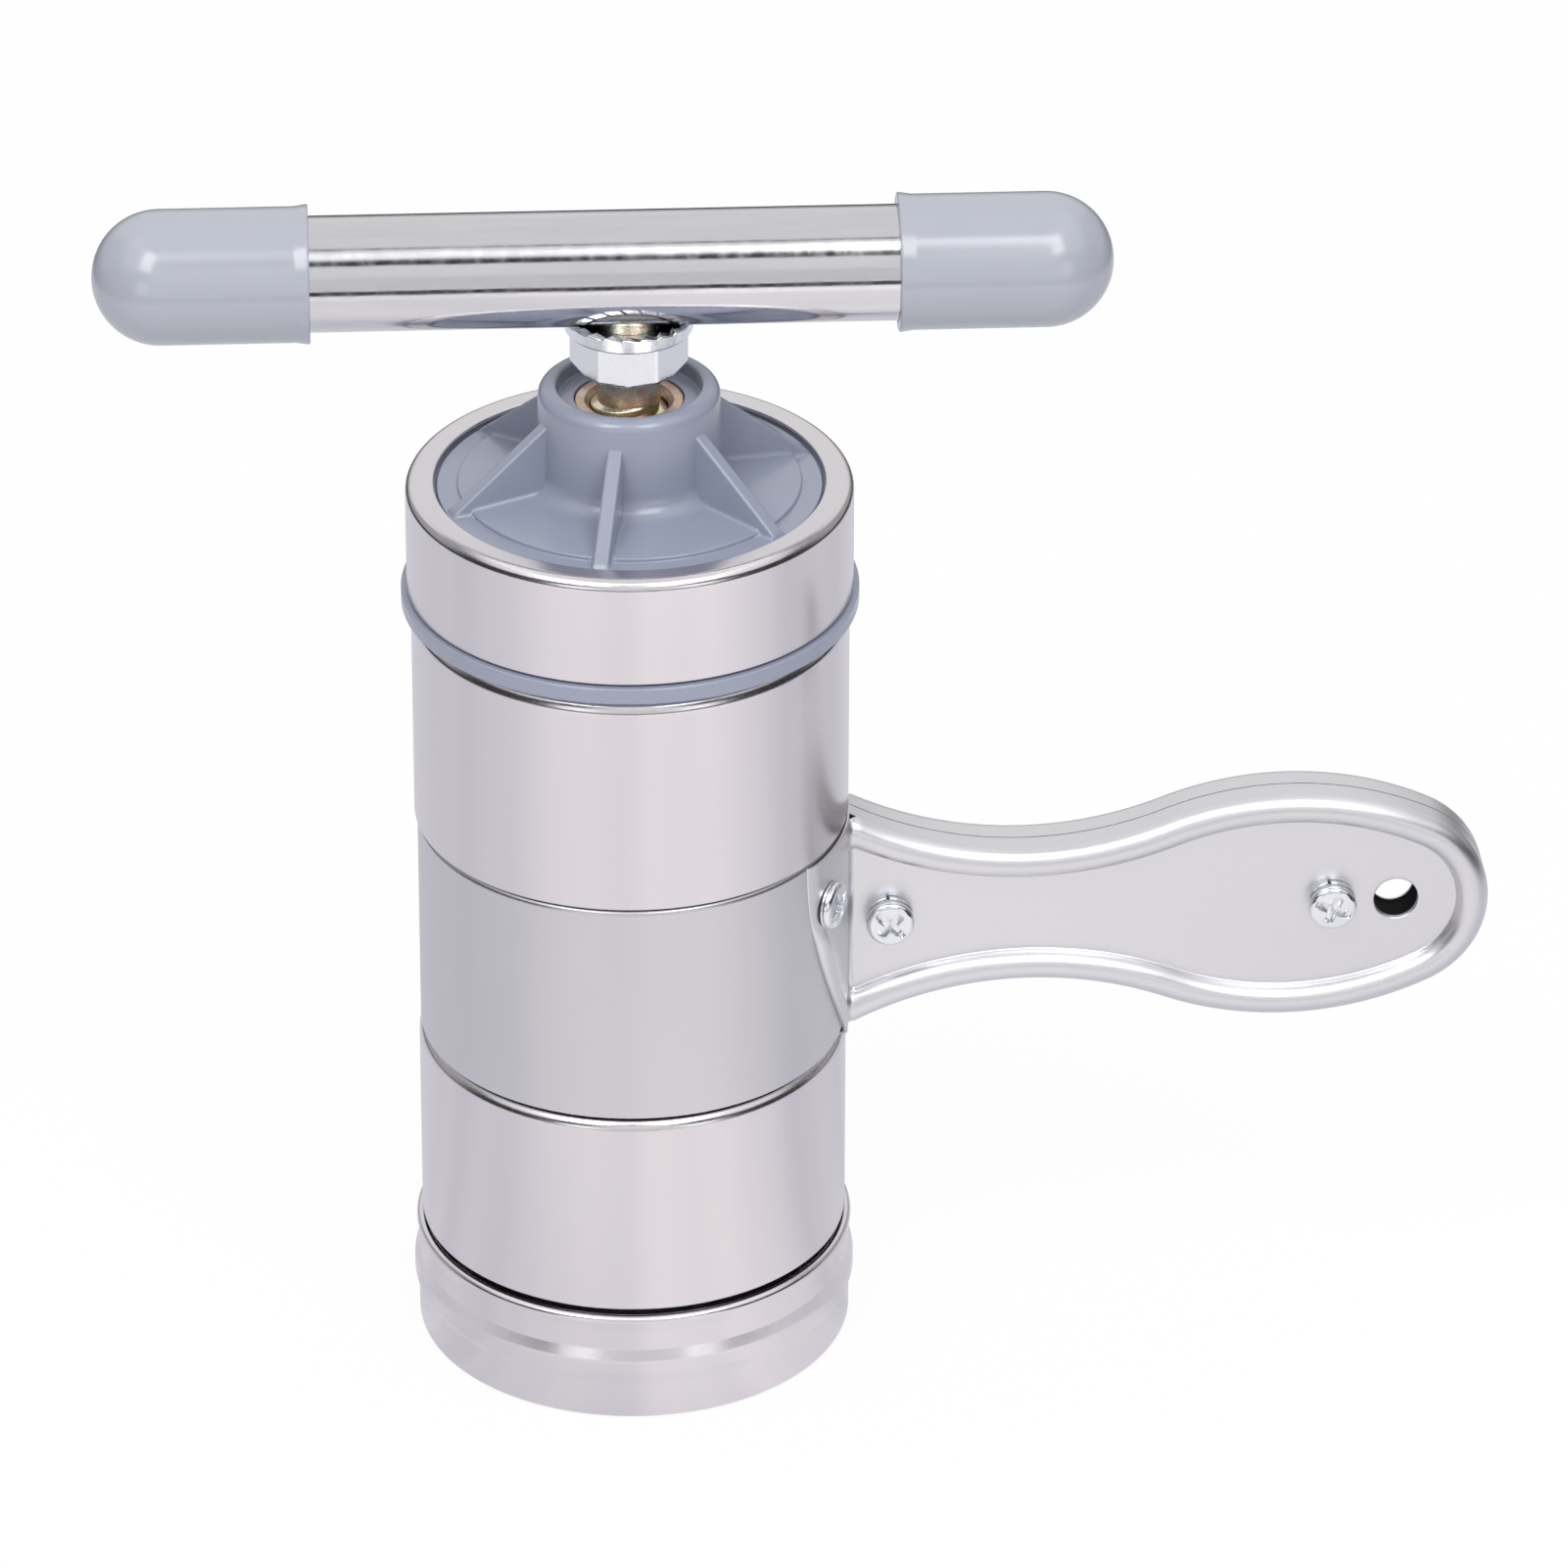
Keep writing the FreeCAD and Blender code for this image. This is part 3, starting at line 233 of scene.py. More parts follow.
# Mixes one colour, or a socket that gives one, with another by a share
def mixColours(tree, share, one, other, clamp=True):
    mix = tree.nodes.new("ShaderNodeMix")
    mix.data_type = "RGBA"
    mix.clamp_factor = clamp
    first, second = (socket for socket in mix.inputs if socket.type == "RGBA")
    if isinstance(one, tuple):
        first.default_value = (*one, 1)
    else:
        tree.links.new(one, first)
    second.default_value = (*other, 1)
    tree.links.new(share, mix.inputs["Factor"])
    return next(socket for socket in mix.outputs if socket.type == "RGBA")


# Each finish: the roughness ranges over its grit; the first tone turns to each next tone over its
# clouds (grain, detail, where the noise starts and ends); each bump is (grain, detail, height)
finishPlans = {
    "spunSteel": {
        "tones": [(0.70, 0.662, 0.678), (0.685, 0.668, 0.705)],
        "clouds": [((0.03, 0.03, 0.05), 3, 0, 1)],
        "roughness": (0.17, 0.26), "grit": ((4, 4, 4), 2), "anisotropic": 0.55,
        "bumps": [((0.02, 0.02, 6), 3, 0.002), ((4, 4, 4), 2, 0.002)],
    },
    "satinSteel": {
        "tones": [(0.60, 0.592, 0.607), (0.645, 0.635, 0.667)],
        "clouds": [((0.05, 0.05, 0.03), 3, 0, 1)],
        "roughness": (0.3, 0.35), "grit": ((3, 3, 3), 4), "anisotropic": 0.3,
        "bumps": [((3, 3, 3), 4, 0.0008)],
    },
    "barSteel": {
        "tones": [(0.575, 0.58, 0.615), (0.67, 0.66, 0.68)], "clouds": [((0.06, 0.5, 0.5), 4, 0, 1)],
        "roughness": (0.09, 0.16), "grit": ((0.5, 0.25, 0.25), 3),
        "bumps": [((0.9, 0.5, 0.5), 3, 0.006), ((0.05, 0.12, 0.12), 2, 0.06)],
    },
    "handleSteel": {
        "tones": [(0.70, 0.695, 0.72)], "roughness": (0.33, 0.4), "grit": ((2.5, 2.5, 2.5), 3),
        "bumps": [((2.5, 2.5, 2.5), 3, 0.0012), ((0.1, 0.1, 0.1), 2, 0.04)],
    },
    "brightZinc": {
        "tones": [(0.75, 0.765, 0.80)], "roughness": (0.11, 0.22), "grit": ((2, 2, 2), 4),
        "bumps": [((2, 2, 2), 4, 0.01)],
    },
    # Near-black, non-metallic finish for the inner faces and cut rims of the handle's shells: painted shade,
    # which darkens the inside of the hang hole and the seam between the two shells
    "paintedShadeInside": {
        "tones": [(0.06, 0.06, 0.065)], "roughness": (0.6, 0.6), "metallic": 0, "specular": 0.2,
    },
}
zincPlan = {
    "clouds": [((0.35, 0.35, 0.5), 2, 0.4, 0.6), ((0.3, 0.25, 0.6), 1, 0.56, 0.7)],
    "roughness": (0.24, 0.38), "grit": ((3, 3, 3), 3),
}
for finish, tones, streak in (
    ("yellowZinc", [(0.78, 0.77, 0.60), (0.84, 0.73, 0.54), (0.86, 0.56, 0.44)], 0.05),
    ("bronze", [(0.62, 0.46, 0.34), (0.46, 0.33, 0.26), (0.66, 0.50, 0.46)], 0.01),
):
    bumps = [((3, 3, 3), 3, 0.012), ((1.2, 1.2, 0.35), 2, streak)]
    finishPlans[finish] = {**zincPlan, "tones": tones, "bumps": bumps}
for finish, base, roughness in (
    ("lidPlastic", (0.275, 0.298, 0.385), (0.22, 0.26)),
    ("capPlastic", (0.376, 0.392, 0.448), (0.18, 0.22)),
):
    finishPlans[finish] = {
        "tones": [base, tuple(value * 0.95 for value in base)],
        "clouds": [((0.08, 0.08, 0.08), 3, 0, 1)],
        "roughness": roughness, "grit": ((2, 2, 2), 3), "bumps": [((2, 2, 2), 3, 0.0008)],
        "metallic": 0, "specular": 0.7,
    }
gritSpan = (0.35, 0.65)  # what the noise of the grit mostly lies between


def makeFinish(name, tones, roughness, grit=None, clouds=(), bumps=(), metallic=1, anisotropic=0,
               specular=0.5):
    finish = bpy.data.materials.new(name)
    finish.use_nodes = True
    tree = finish.node_tree
    nodes, links = tree.nodes, tree.links
    shader = nodes["Principled BSDF"]
    shader.inputs["Base Color"].default_value = (*tones[0], 1)
    shader.inputs["Roughness"].default_value = roughness[0]
    shader.inputs["Metallic"].default_value = metallic
    shader.inputs["Anisotropic"].default_value = anisotropic
    shader.inputs["Specular IOR Level"].default_value = specular
    if grit:
        links.new(spread(tree, grain(tree, *grit), gritSpan, roughness), shader.inputs["Roughness"])
    if anisotropic:
        tangent = nodes.new("ShaderNodeTangent")
        tangent.direction_type = "RADIAL"
        tangent.axis = "Z"
        links.new(tangent.outputs["Tangent"], shader.inputs["Tangent"])
    colour = tones[0]
    for (stretch, detail, low, high), tone in zip(clouds, tones[1:]):
        colour = mixColours(tree, spread(tree, grain(tree, stretch, detail), (low, high)), colour, tone)
        links.new(colour, shader.inputs["Base Color"])
    below = None
    for stretch, detail, height in bumps:
        bump = nodes.new("ShaderNodeBump")
        bump.inputs["Distance"].default_value = height * mm
        bump.inputs["Strength"].default_value = 1.0
        links.new(grain(tree, stretch, detail), bump.inputs["Height"])
        if below:
            links.new(below, bump.inputs["Normal"])
        below = bump.outputs["Normal"]
        links.new(below, shader.inputs["Normal"])
    return finish


finishes = {name: makeFinish(name, **plan) for name, plan in finishPlans.items()}
print("materials made")


# Barrel: tube, two sleeves and the band between them
tube = {"wall": 1.6, "lip": 0.45, "boreLip": 0.3, "topThread": 12.5, "footThread": 11.0,
        "threadEnd": 1.2}


def makeTube():
    radius, foot, top = ringOf("press_tube")
    bore = radius - tube["wall"]
    lip, boreLip, end = tube["lip"], tube["boreLip"], tube["threadEnd"]
    outline = rounded(
        [(bore, foot, boreLip), (radius, foot, lip), (radius, top, lip), (bore, top, boreLip)]
    )
    ridge = {"core": radius, "depth": 0.7, "width": 1.9, "crest": 0.7, "edge": 0.25}
    upper = threadRidge(**ridge, foot=top - tube["topThread"], top=top - end)
    lower = threadRidge(**ridge, foot=foot + end, top=foot + tube["footThread"])
    makePiece("pressTube", [spun(outline), upper, lower], "spunSteel", "barrel",
              ["press_tube"])


# Spun sleeves: cut edge below, a shoulder that turns in to the tube above
sleeveSheet, sleeveFoot = 0.7, 0.42
sleeves = (
    ("lowerSleeve", "lower_sleeve", 2.2, "spunSteel", "polished_steel"),
    ("middleBand", "middle_band", 1.0, "satinSteel", "satin_steel"),
    ("upperSleeve", "upper_sleeve", 2.6, "spunSteel", "polished_steel"),
)


def makeSleeves():
    seat = ringOf("press_tube")[0] + seatGap
    for name, node, shoulder, finish, slot in sleeves:
        radius, foot, top = ringOf(node)
        inner, under = radius - sleeveSheet, top - sleeveSheet
        outline = rounded(
            [(inner, foot, 0.15), (radius, foot, sleeveFoot), (radius, top, shoulder), (seat, top),
             (seat, under), (inner, under, shoulder - sleeveSheet * 0.8)],
            steps=10,
        )
        makePiece(name, [spun(outline)], finish, "barrel", [node])


makeTube()
makeSleeves()
print("barrel made")


# Collar: lip, skirt, bead round the waist and a curled rim, with its threaded ring
collar = {
    "sheet": 0.75, "lipBore": 28.5, "lipEdge": 0.25, "corner": 1.0, "skirt": 34.9,
    "beadFoot": 6.9, "beadStart": 8.6, "beadEnd": 10.9, "beadTop": 13.1, "beadBend": 0.9,
    "rimRadius": 0.95, "rimFoot": 1.6, "ringBore": 32.5, "ringEdge": 0.5,
}


def makeCollar():
    widest, foot, top = ringOf("collar_shell")
    skirt, rimRadius, bend = collar["skirt"], collar["rimRadius"], collar["beadBend"]
    inner, floor = skirt - collar["sheet"], foot + collar["sheet"]
    curlAcross, curlCentre = skirt + 0.25 - rimRadius, top - rimRadius
    wall = rounded(
        [
            (collar["lipBore"], foot, collar["lipEdge"]), (skirt, foot, collar["corner"]),
            (skirt, collar["beadFoot"], bend), (widest, collar["beadStart"], 1.2),
            (widest, collar["beadEnd"], 2.4), (skirt, collar["beadTop"], bend),
            (skirt, curlCentre - collar["rimFoot"], 1.5), (skirt + 0.2, curlCentre - 0.4, 0.5),
        ],
        closed=False, steps=10,
    )
    curl = np.linspace(math.radians(-28), math.radians(232), 26)
    rim = np.stack([rimRadius * np.cos(curl), rimRadius * np.sin(curl)], axis=1)
    rim += [curlAcross, curlCentre]
    inside = rounded(
        [(inner, curlCentre - collar["rimFoot"]), (inner, floor, 0.3),
         (collar["lipBore"], floor, collar["lipEdge"])],
        closed=False, steps=4,
    )
    outline = np.concatenate([wall[:-1], rim, inside])
    makePiece("collarShell", [spun(outline)], "spunSteel", "collar", ["collar_shell"])
    outer, foot, top = ringOf("collar_thread_ring")
    bore, edge = collar["ringBore"], collar["ringEdge"]
    ring = rounded([(bore, foot, edge), (outer, foot), (outer, top), (bore, top, edge)])
    ridge = threadRidge(core=bore, depth=0.6, way=-1, foot=foot + 1.2, top=top - 1.0, start=math.pi)
    makePiece("collarThread", [spun(ring), ridge], "satinSteel", "collar",
              ["collar_thread_ring"])


makeCollar()
print("collar made")


# Lid: seat ring, steel cap, and the moulded insert with its hub and ribs
lid = {"sheet": 0.8, "corner": 1.7, "opening": 30.5, "skirtBore": 32.5, "crownRadius": 26.8,
       "crownStep": 0.7, "crownRise": 1.1, "crownThickness": 2.6, "hubRadius": 14.4, "hubHeight": 17.4,
       "hubRim": 1.9,
       "recessRadius": 11.3, "recessDepth": 2.4, "neckBore": 8.55, "hubFillet": 3.0,
       "groove": 0.6, "grooveDepth": 0.9, "threadDepth": 0.6}
rib = {"count": 6, "angle": -102.4, "thickness": 2.6, "reach": 29.4, "top": 12.7, "foot": 0.5,
       "fillet": 0.7, "buried": 1.0}
# Moulding flash on the ring's lower edge: three sines round the ring multiplied
flash = {"rough": 23, "fine": 57, "slow": 11, "height": 0.6, "depth": 0.16}


def makeLidRing():
    outer, foot, top = ringOf("lid_gasket")
    bore = ringOf("press_tube")[0] + 1.1
    outline = rounded([(bore, foot), (outer, foot, 0.3), (outer, top, 0.3), (bore, top)], steps=8)
    grid, wrapRows, wrapColumns = spun(outline)
    angle = np.linspace(0, fullTurn, len(grid), endpoint=False)[:, None]
    ragged = np.sin(angle * flash["rough"]) * np.sin(angle * flash["fine"] + 1)
    ragged = ragged * np.sin(angle * flash["slow"])
    low = np.clip(1 - (grid[..., 2] - foot) / flash["height"], 0, 1)
    grid[..., 2] -= low * np.clip(ragged, 0, 1) * flash["depth"]
    makePiece("seatRing", [(grid, wrapRows, wrapColumns)], "lidPlastic", "seat_ring",
              ["lid_gasket"])


def makeLidShell():
    radius, foot, top = ringOf("lid_shell")
    inner = radius - lid["sheet"]
    under = top - lid["sheet"]
    outline = rounded(
        [(inner, foot, 0.15), (radius, foot, 0.2), (radius, top, lid["corner"]),
         (lid["opening"], top, 0.4),
         (lid["opening"], under), (inner, under, 0.8)],
        steps=12,
    )
    makePiece("lidShell", [spun(outline)], "spunSteel", "lid", ["lid_shell"])


# Rib: across the section v the height follows a rounded top and a foot that flares out to the
# crown; along u it drops in a straight line from the hub to the rim
def ribPatch(edge, angle):
    hub, step = lid["hubRadius"], lid["crownRadius"]
    along = np.linspace(hub - rib["buried"], rib["reach"], 40)
    height = rib["top"] - (rib["top"] - rib["foot"]) / (rib["reach"] - hub) * (along - hub)
    half = rib["thickness"] / 2
    flare = half + rib["fillet"]
    raised = lid["crownStep"] + lid["crownRise"] * (step - along) / (step - hub)
    crown = np.where(along < step, raised, 0.0)
    top = np.maximum(height, crown + 0.3)
    sections = [
        rounded(
            [(-flare - 0.6, low - 0.5), (-flare - 0.2, low - 0.02, 0.1),
             (-half - 0.08, low, rib["fillet"]), (-half + 0.12, high, 0.55), (half - 0.12, high, 0.55),
             (half + 0.08, low, rib["fillet"]), (flare + 0.2, low - 0.02, 0.1),
             (flare + 0.6, low - 0.5)],
            closed=False, steps=5,
        )
        for low, high in zip(crown, top)
    ]
    across = np.stack(sections)
    grid = np.stack([along[:, None] + 0 * across[..., 0], across[..., 0], edge + across[..., 1]], axis=-1)
    last = grid[-1].copy()
    last[:, 2] = np.minimum(last[:, 2], edge - 0.3)
    last[:, 0] += 0.5
    grid = np.concatenate([grid, last[None]])
    cosine, sine = math.cos(angle), math.sin(angle)
    turned = grid @ np.array([[cosine, sine, 0], [-sine, cosine, 0], [0, 0, 1]])
    return turned, False, False


def makeLidInsert():
    _, foot, hubTop = ringOf("lid_insert")
    edge = hubTop - lid["hubHeight"]
    under = edge - lid["crownThickness"]
    skirt = ringOf("lid_shell")[0] - lid["sheet"] - seatGap
    floor = hubTop - lid["recessDepth"]
    step = edge + lid["crownStep"]
    bore, neckBore, hub = lid["skirtBore"], lid["neckBore"], lid["hubRadius"]
    recess, crown = lid["recessRadius"], lid["crownRadius"]
    grooveOuter, grooveFloor = lid["opening"] + 0.15, edge - lid["grooveDepth"]
    grooveInner = grooveOuter - lid["groove"]
    outline = rounded(
        [(bore, foot), (skirt, foot), (skirt, edge, 0.9),
         (grooveOuter, edge, 0.12), (grooveOuter, grooveFloor, 0.15),
         (grooveInner, grooveFloor, 0.15), (grooveInner, edge, 0.2), (crown, edge, 0.25),
         (crown, step, 0.3), (hub, step + lid["crownRise"], lid["hubFillet"]),
         (hub - 0.25, hubTop, lid["hubRim"]), (recess, hubTop, 0.65), (recess - 0.1, floor, 0.3),
         (neckBore, floor, 0.25), (neckBore, under), (bore, under, 0.8)],
        steps=10,
    )
    thread = threadRidge(core=bore, depth=lid["threadDepth"], way=-1, foot=foot + 1.0, top=under - 1.0,
                         start=math.pi)
    ribs = [
        ribPatch(edge, math.radians(rib["angle"]) + fullTurn * count / rib["count"])
        for count in range(rib["count"])
    ]
    makePiece("lidInsert", [spun(outline), thread, *ribs], "lidPlastic", "lid",
              ["lid_insert"])


leadNut = {"bore": 6.1, "mouth": 7.0, "mouthDepth": 0.8, "neck": 8.5, "neckHeight": 2.4, "body": 9.2,
           "flange": 12.5, "flangeHeight": 1.6}


def makeLeadNut():
    low, high = (corner[2] for corner in spanOf("lead_nut"))
    bore, neck, body, flange = (leadNut[key] for key in ("bore", "neck", "body", "flange"))
    flangeTop, neckFoot = low + leadNut["flangeHeight"], high - leadNut["neckHeight"]
    outline = rounded(
        [(bore, low, 0.2), (flange, low, 0.3), (flange, flangeTop, 0.2), (body, flangeTop, 0.2),
         (body, neckFoot - 0.1, 0.2), (neck, neckFoot, 0.2), (neck, high, 0.25),
         (leadNut["mouth"], high, 0.25), (bore + 0.05, high - leadNut["mouthDepth"], 0.2)],
        steps=5,
    )
    makePiece("leadNut", [spun(outline, 128)], "bronze", "lid", ["lead_nut"])


makeLidRing()
makeLidShell()
makeLidInsert()
makeLeadNut()
print("lid made")


# Spindle: core, rolled thread, plain neck with its fillet, journal below
spindle = {"pitch": 3.0, "crestRadius": 6.0, "depth": 1.3, "neckRadius": 4.925, "journalRadius": 4.0,
           "runOut": 345.0}


def makeSpindle():
    low, high = (corner[2] for corner in spanOf("spindle"))
    threadTop = ringOf("lid_insert")[2] - 2.2
    threadFoot = spanOf("thrust_washer")[1][2]
    core = spindle["crestRadius"] - spindle["depth"]
    neck, journal = spindle["neckRadius"], spindle["journalRadius"]
    shaft = rounded(
        [(0, low), (journal, low, 0.4), (journal, threadFoot, 0.2), (core, threadFoot, 0.5),
         (core, threadTop - 1.0, 0.3), (neck, threadTop - 0.2, 0.5), (neck, high, 0.4), (0, high)],
        closed=False, steps=6,
    )
    grid = spun(shaft, 96)[0]
    ridgeFoot, ridgeTop = threadFoot + 1.2, threadTop - 0.1
    lastTurn = math.radians(spindle["runOut"]) - (ridgeTop - ridgeFoot) / spindle["pitch"] * fullTurn
    ridge = threadRidge(pitch=spindle["pitch"], steps=60, fade=0.45, width=2.2, crest=1.0, edge=0.3,
                        depth=spindle["depth"], core=core, foot=ridgeFoot, top=ridgeTop, start=lastTurn)
    makePiece("spindle", [(grid, True, False), ridge], "yellowZinc", "crank", ["spindle"])


# Flange nut: the wall follows a hexagon cut off by a cone below; above it the flange flares out,
# and slanted teeth run over its rim and down into the dish
flangeNut = {"across": 16.0, "lift": 2.6, "dish": 1.7, "rim": 1.6, "wall": 0.7, "teeth": 22,
             "toothDepth": 0.6, "toothSlant": 0.16, "toothRise": 0.82, "turn": -4.4}


def hexWall(half, foot, top, bevel, inner, turn, topBevel=None):
    sixth = math.pi / 3
    corner = half / math.cos(math.pi / 6)
    offsets = np.array([-30, -29.4, -28.6, -26, -20, -10, 0, 10, 20, 26, 28.6, 29.4]) / 60 * sixth
    angle = (np.arange(6)[:, None] * sixth + offsets).ravel()
    flat = np.minimum(half / np.cos((angle + sixth / 2) % sixth - sixth / 2), corner - 0.08)
    rise = np.concatenate([[0, 0], np.linspace(0.02, 1.3, 16), [1.8]])
    if topBevel is None:
        level = np.concatenate([foot + rise, [top]])[:, None] + 0 * angle
        cone = half - 0.1 + (level - foot) * bevel
    else:
        level = np.concatenate([foot + rise, (top - rise)[::-1]])[:, None] + 0 * angle
        cone = half - 0.1 + np.minimum((level - foot) * bevel, (top - level) * topBevel)
    wall = np.minimum(flat, cone)
    wall[0] = inner
    wall[1] = np.minimum(flat, half - 0.25)
    if topBevel is not None:
        wall[-1] = inner
        wall[-2] = wall[1]
    turned = angle + math.radians(turn - 90)
    return np.stack([wall * np.cos(turned), wall * np.sin(turned), level], axis=-1), False, True


def makeFlangeNut():
    outer, foot, top = ringOf("flange_nut")
    outer -= 0.02
    flangeFoot = top - flangeNut["lift"]
    half = flangeNut["across"] / 2
    corner = half / math.cos(math.pi / 6)
    neck = spindle["neckRadius"] + 0.1
    rimInner = outer - flangeNut["rim"]
    hexGrid = hexWall(half, foot, flangeFoot - 0.05, 1.25, neck, flangeNut["turn"])
    section = rounded(
        [(corner - 1.2, flangeFoot - 0.1), (outer - 0.55, flangeFoot - 0.1, 0.45),
         (outer, top, 0.2), (rimInner, top, 0.2),
         (rimInner - flangeNut["wall"], top - flangeNut["dish"], 0.5), (neck, top - flangeNut["dish"] - 0.1)],
        closed=False, steps=6,
    )
    section = np.concatenate([section[:1], *[
        one + (other - one) * np.linspace(0, 1, 5)[1:, None] for one, other in zip(section[:-1], section[1:])
    ]])
    flange, wrapRows, wrapColumns = spun(section, 600)
    radius = np.hypot(flange[..., 0], flange[..., 1])
    around = np.arctan2(flange[..., 1], flange[..., 0])
    saw = (around * flangeNut["teeth"] / fullTurn - (outer - radius) * flangeNut["toothSlant"]) % 1.0
    crest = flangeNut["toothRise"]
    tooth = np.where(saw < crest, saw / crest, (1 - saw) / (1 - crest))
    onTop = np.clip((flange[..., 2] - (top - flangeNut["dish"] - 0.05)) / 0.5, 0, 1)
    onTop *= np.clip((flange[..., 2] - (flangeFoot + 1.7)) / 0.4, 0, 1) * (radius > neck + 0.5)
    inside = np.clip((outer - 0.02 - radius) / 0.3, 0, 1)
    reach = onTop * np.maximum(inside, 0.6 * np.clip((flange[..., 2] - (top - 0.45)) / 0.3, 0, 1))
    flange[..., 2] -= reach * tooth * flangeNut["toothDepth"]
    makePiece("flangeNut", [hexGrid, (flange, True, False)], "brightZinc", "crank",
              ["flange_nut"])


makeSpindle()
makeFlangeNut()
print("spindle and nut made")


# Crank bar and caps, spun about the bar's own axis
bar = {"radius": 9.0, "wall": 1.2, "angle": -1.33, "capWall": 1.45, "capLength": 33.4, "endWall": 8.0,
       "flare": 0.35, "flareReach": 2.2, "left": 82.5, "right": 74.9}
barAxis = (math.cos(math.radians(bar["angle"])), math.sin(math.radians(bar["angle"])), 0.0)
barHeight = sum(spanOf("crank_bar")[edge][2] for edge in (0, 1)) / 2


# Outline in (along the bar, radius) spun about the bar
def spunOnBar(outline, turns=160):
    angle = np.linspace(0, fullTurn, turns, endpoint=False)[:, None]
    along, radius = outline[:, 0], outline[:, 1]
    grid = np.stack([radius * np.cos(angle), radius * np.sin(angle), along + 0 * angle], axis=-1)
    return placed((grid, True, True), (0, 0, barHeight), barAxis)


def makeBar():
    left = bar["endWall"] - bar["left"]
    right = bar["right"] - bar["endWall"]
    inner = bar["radius"] - bar["wall"]
    outline = rounded([(left, inner), (right, inner), (right, bar["radius"]), (left, bar["radius"])])
    makePiece("crankBar", [spunOnBar(outline)], "barSteel", "crank", ["crank_bar"])


def makeCaps():
    inner = bar["radius"] + seatGap
    outer = inner + bar["capWall"]
    for side, tip, way in (("left", -bar["left"], -1), ("right", bar["right"], 1)):
        dome = np.linspace(0, math.pi / 2, 22)
        centre = tip - way * outer
        nose = np.stack([centre + way * outer * np.cos(dome), outer * np.sin(dome)], axis=1)
        mouth = tip - way * bar["capLength"]
        floor = tip - way * (bar["endWall"] - seatGap)
        sleeve = rounded(
            [(centre - way, outer), (mouth + way * bar["flareReach"], outer, 3.0),
             (mouth, outer + bar["flare"], 0.3), (mouth, inner, 0.2), (floor, inner), (floor, 0)],
            closed=False, steps=5,
        )
        outline = np.concatenate([nose, sleeve])
        makePiece(side + "Cap", [spunOnBar(outline)], "capPlastic", "crank",
                  [side + "_cap"])


makeBar()
makeCaps()
print("crank made")


# Pusher
pusher = {"sheet": 1.5, "corner": 2.0, "dome": 11.5, "domeHeight": 7.5, "hole": 4.08}


def makePusher():
    outer, foot, top = ringOf("pusher_plate")
    domeTop = foot + pusher["domeHeight"]
    sheet, hole, dome = pusher["sheet"], pusher["hole"], pusher["dome"]
    inner, floor = outer - sheet, foot + sheet
    outline = rounded(
        [(hole, domeTop - sheet), (dome - sheet, domeTop - sheet, 0.8), (dome - sheet, foot, 0.4),
         (outer, foot, pusher["corner"]), (outer, top, 0.5), (inner, top, 0.3), (inner, floor, 0.8),
         (dome, floor, 0.8), (dome, domeTop, 1.2), (hole, domeTop)],
        steps=6,
    )
    makePiece("pusherPlate", [spun(outline, 192)], "spunSteel", "pusher",
              ["pusher_plate"])


makePusher()


# Handle: the outline is three tangent arcs each side of its axis; a point inset by d from it lies
# on the same arc with its radius changed by d
handle = {"lift": 17.6, "narrowX": 62.85, "wideReach": 41.93, "tipReach": 32.35, "narrowHalf": 11.82,
          "wideHalf": 20.0, "wideArc": 52.76, "bead": 2.5, "panel": 3.3, "seam": 0.1,
          "boltNear": 40.9, "boltFar": 111.9, "hang": 122.35, "hangHole": 3.5}
handleHeight = spanOf("middle_band")[0][2] + handle["lift"]
bandRadius = ringOf("middle_band")[0]


def handleFlank(inset, rootX, steps=40):
    swell = handle["wideHalf"] - handle["narrowHalf"]
    arcSum = (handle["wideReach"] ** 2 + swell ** 2) / (2 * swell)
    waistArc = arcSum - handle["wideArc"]
    wideX = handle["narrowX"] + handle["wideReach"]
    waistUp = handle["narrowHalf"] + waistArc
    wideUp = handle["wideHalf"] - handle["wideArc"]
    reach = handle["tipReach"]
    tipArc = (handle["wideArc"] ** 2 - reach ** 2 - wideUp ** 2) / (2 * (handle["wideArc"] - reach))
    tipX = wideX + reach - tipArc
    joinAngle = math.atan2(-wideUp, tipX - wideX)
    bendAngle = math.atan2(waistUp - wideUp, handle["narrowX"] - wideX)
    waistRadius = waistArc + inset
    rootAngle = -math.acos(np.clip((rootX - handle["narrowX"]) / waistRadius, -1, 1))
    tip = np.linspace(0, joinAngle, steps)
    wide = np.linspace(joinAngle, bendAngle, steps * 2)[1:]
    waist = np.linspace(bendAngle - math.pi, rootAngle, steps)[1:]
    arcs = [
        (tipX, 0.0, tipArc - inset, tip),
        (wideX, wideUp, handle["wideArc"] - inset, wide),
        (handle["narrowX"], waistUp, waistRadius, waist),
    ]
    return np.concatenate([
        np.stack([x + radius * np.cos(angle), y + radius * np.sin(angle)], axis=1)
        for x, y, radius, angle in arcs
    ])


# Whole outline from the upper root round the tip to the lower root
def handleOutline(inset, rootX):
    upper = handleFlank(inset, rootX)
    lower = upper[1:] * [1, -1]
    return np.concatenate([upper[::-1], lower])


# Foot of a shell: a sheet on the band whose far edge is an arc about a centre beyond the handle;
# h inside that edge it stands up by rim * sqrt(1 - ((h - crest) / crest)^2), and not by the screw
foot = {"lap": 0.03, "sheet": 0.6, "toe": 6.0, "reach": 21.6, "arc": 55.5, "inset": 0.5, "rim": 0.8,
        "rimFrom": 10.0, "rimFade": 6.0, "rimEnd": 7.0, "thin": 0.45, "thinWidth": 1.8, "crest": 1.0,
        "fillet": 1.2, "angle": 29.0, "wall": 0.3}
footSkin = bandRadius + seatGap + foot["sheet"]


